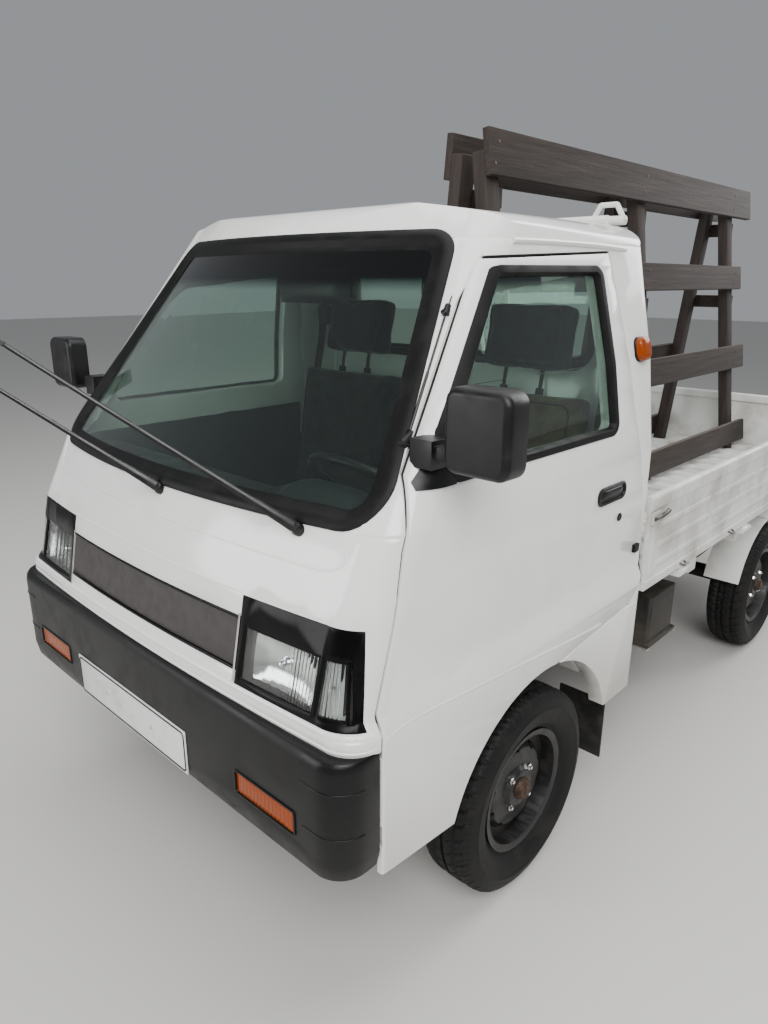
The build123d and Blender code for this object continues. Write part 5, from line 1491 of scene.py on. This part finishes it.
def piping(cover, place, size, corner):
    """A closed line of places on the cover, below a rounded outline of the pad's broad side.

    The broad side is the top of a cushion, and the front of a pad that stands up.
    """
    wide, deep, high = size
    flat = deep > high
    outline = rounded_loop(box_round((0, 0), wide * PIPING, (deep if flat else high) * PIPING), corner)[0]
    aim = place.to_3x3() @ Vector((0, 0, -1) if flat else (0, 1, 0))
    found = []
    for a, b in outline * MM:
        start = Vector((a, b, 0.2) if flat else (a, -0.2, b))
        hit, spot, normal, face = cover.ray_cast(place @ start, aim)
        if hit:
            found.append((spot.x / MM, (spot.y - FACE_Y) / MM, spot.z / MM))
    return found + found[:2]


def woven(name, thread, gap, pitch, grain=0.35):
    """A woven cloth: two crossed waves of the pitch in mm as bump, its colour worn in patches.

    The patches are about 45 mm wide, the thread's colour below a noise of 0.42 and the gap's above 0.62.
    """
    finish, tree, shader = new_finish(name, Roughness=0.9, Sheen_Weight=0.25)
    place = add(tree, "TexCoord").outputs["Object"]
    spots = add(tree, "TexNoise", {"Vector": place, "Scale": 22.0, "Detail": 5.0})
    ramp = add(tree, "ValToRGB", {"Fac": spots.outputs["Fac"]})
    ramp.color_ramp.elements[0].position = 0.42
    ramp.color_ramp.elements[1].position = 0.62
    ramp.color_ramp.elements[0].color = linear(thread)
    ramp.color_ramp.elements[1].color = linear(gap)
    tree.links.new(ramp.outputs["Color"], shader.inputs["Base Color"])
    # a Wave node repeats at 2 pi over its scale
    scale = 1 / (pitch * MM) / 6.283
    warp, weft = (
        add(tree, "TexWave", {"Vector": place, "Scale": scale, "Distortion": 0.4}, bands_direction=axis)
        for axis in ("X", "Z")
    )
    threads = add(tree, "Math", {0: warp.outputs["Fac"], 1: weft.outputs["Fac"]}, operation="MAXIMUM")
    bump = add(tree, "Bump", {"Height": threads.outputs["Value"], "Strength": grain, "Distance": 0.0012})
    tree.links.new(bump.outputs["Normal"], shader.inputs["Normal"])
    return finish


# all are dull cloth with a soft sheen; the net is the darkest, and the olive has brown blotches
seat_cloth = woven("charcoal woven seat cloth", "141416", "26272a", 5)
olive_cloth = woven("olive patterned seat cover", "5b5630", "4a2a22", 6)
net_cloth = woven("black headrest net", "0b0b0c", "1a1a1c", 4)
trim_black = new_finish("black piping", Base_Color=linear("0a0a0b"), Roughness=0.6)[0]
left_cloths = {"seat_cushion": seat_cloth, "seat_back": olive_cloth, "headrest": net_cloth}
right_cloths = {**left_cloths, "seat_back": seat_cloth}
for name, pivot, size, lean, lift, cap, corner in PADS:
    place = (
        Matrix.Translation((pivot[0] * MM, FACE_Y + pivot[1] * MM, pivot[2] * MM))
        @ Matrix.Rotation(math.radians(-lean), 4, "X") @ Matrix.Translation([side * MM for side in lift])
    )
    left_pad = pad("left_" + name, size, place, cap)
    right_pad = twin(left_pad, "right_" + name)
    for piece, cloth in ((left_pad, left_cloths[name]), (right_pad, right_cloths[name])):
        piece.data.materials.clear()
        piece.data.materials.append(cloth)
        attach(piece, "root")
        if name == "seat_cushion":
            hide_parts("seat_cushions")
        if name == "seat_back":
            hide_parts("seat_backs")
    cord = pipe(piping(left_pad, place, size, corner), PIPING_RADIUS, 8)
    for side, hand in SIDES:
        put(side + "_" + name + "_piping", handed([cord], hand), trim_black)

lean_cos, lean_sin = math.cos(math.radians(RECLINE)), math.sin(math.radians(RECLINE))
posts = []
for x in (SEAT_X - POST_X, SEAT_X + POST_X, -SEAT_X - POST_X, -SEAT_X + POST_X):
    line = np.array([
        (x, HINGE[1] + back * lean_cos + up * lean_sin, HINGE[2] + up * lean_cos - back * lean_sin)
        for up, back in POST_LINE
    ])
    posts.append(pipe(line, POST_RADIUS, 12))
    # the collar it slides in reaches half way to the post's second place
    posts.append(pipe([line[0], line[0] + (line[1] - line[0]) * 0.5], COLLAR, 14))
put("headrest_posts", posts, trim_black)


# Seat belts: black webbing from a round-topped guide on each rear pillar down towards its reel
# by the seat.
BELT_LINE = ((566, 1128, 1392), (570, 1120, 1300), (574, 1080, 1120), (578, 1040, 960), (586, 1020, 860))
BELT = (46, 1.4)
BELT_FACE = (0.96, -0.28, 0)
# the guide is a pipe that stands up: its heights and its radius at each
GUIDE_PLACE = (556, 1136)
GUIDE = ((1370, 27), (1420, 32), (1436, 26), (1446, 8))
# its weave is finer and flatter than the seats'
webbing = woven("black belt webbing", "0c0c0d", "19191b", 3, 0.2)
line = smooth_line(BELT_LINE, 40)
face = np.array(BELT_FACE)
broad = np.cross(along(line), face)
broad /= np.linalg.norm(broad, axis=1, keepdims=True)
ring = np.array(box_round((0, 0), BELT[0] / 2, BELT[1] / 2))
points = line[:, None] + broad[:, None] * ring[None, :, :1] + face * ring[None, :, 1:]
belt = tube(truck(points[..., 0], points[..., 1], points[..., 2]))
guide = pipe([(*GUIDE_PLACE, z) for z, radius in GUIDE], [radius for z, radius in GUIDE], 20)
for side, hand in SIDES:
    put(side + "_belt", handed([belt], hand), webbing)
    put(side + "_belt_guide", handed([guide], hand), black_plastic)


# The inside mirror, on a curved stem from the windscreen's header, and the two sun visors, padded
# vinyl boards. The rear window's rubber shows inside the cab too.
INSIDE_MIRROR = (132, 470, 1502)
INSIDE_MIRROR_HALF = (118, 33)
MIRROR_STEM = ((79.2, 462, 1522), (60, 500, 1560), (40, 520, 1590))
VISOR = (300, 548, 1572)
VISOR_HALF = (190, 26, 20)
REAR_INNER_FACE = 1163
REAR_INNER_SEAL = ((15, 0), (13, 4), (2, 6), (-8, 3), (-10, -6), (4, -6))


def on_rear_inside(x, z, height):
    """Points on the rear wall's face inside the cab, lifted into it by height."""
    return truck(x, REAR_INNER_FACE - height, z)


u, v = patch(14, 26)
# the mirror's back swells by up to 20 mm: 20 (1 - u^6) (1 - v^4)
bulge = (1 - np.abs(u) ** 6) * (1 - np.abs(v) ** 4)
x = INSIDE_MIRROR[0] + u * INSIDE_MIRROR_HALF[0]
z = INSIDE_MIRROR[2] + v * INSIDE_MIRROR_HALF[1]
put("inside_mirror", [
    slab(truck(x, INSIDE_MIRROR[1] - 20 * bulge, z), truck(x, INSIDE_MIRROR[1] + 4, z)),
    pipe(MIRROR_STEM, (8, 7, 10), 12),
], black_plastic)
# grey vinyl, a little paler and rougher than the plastic
visor_vinyl = worn("dark visor vinyl", "22272a", "2c3134", 60, 0.4, (0.55, 0.7), 2, 0.2)
u, v = patch(12, 24)
# a visor's half thickness: 1 + 7 (1 - u^8) (1 - v^6)
edge = 7 * (1 - np.abs(u) ** 8) * (1 - np.abs(v) ** 6) + 1
x, y, z = VISOR[0] + u * VISOR_HALF[0], VISOR[1] + v * VISOR_HALF[1], VISOR[2] + v * VISOR_HALF[2]
visor = slab(truck(x, y - edge * 0.5, z - edge * 0.8), truck(x, y + edge * 0.5, z + edge * 0.8))
for side, hand in SIDES:
    put(side + "_sun_visor", handed([visor], hand), visor_vinyl)
put("rear_window_inner_rubber", [
    framed(*rear_window, REAR_INNER_SEAL, on_rear_inside),
], rubber)
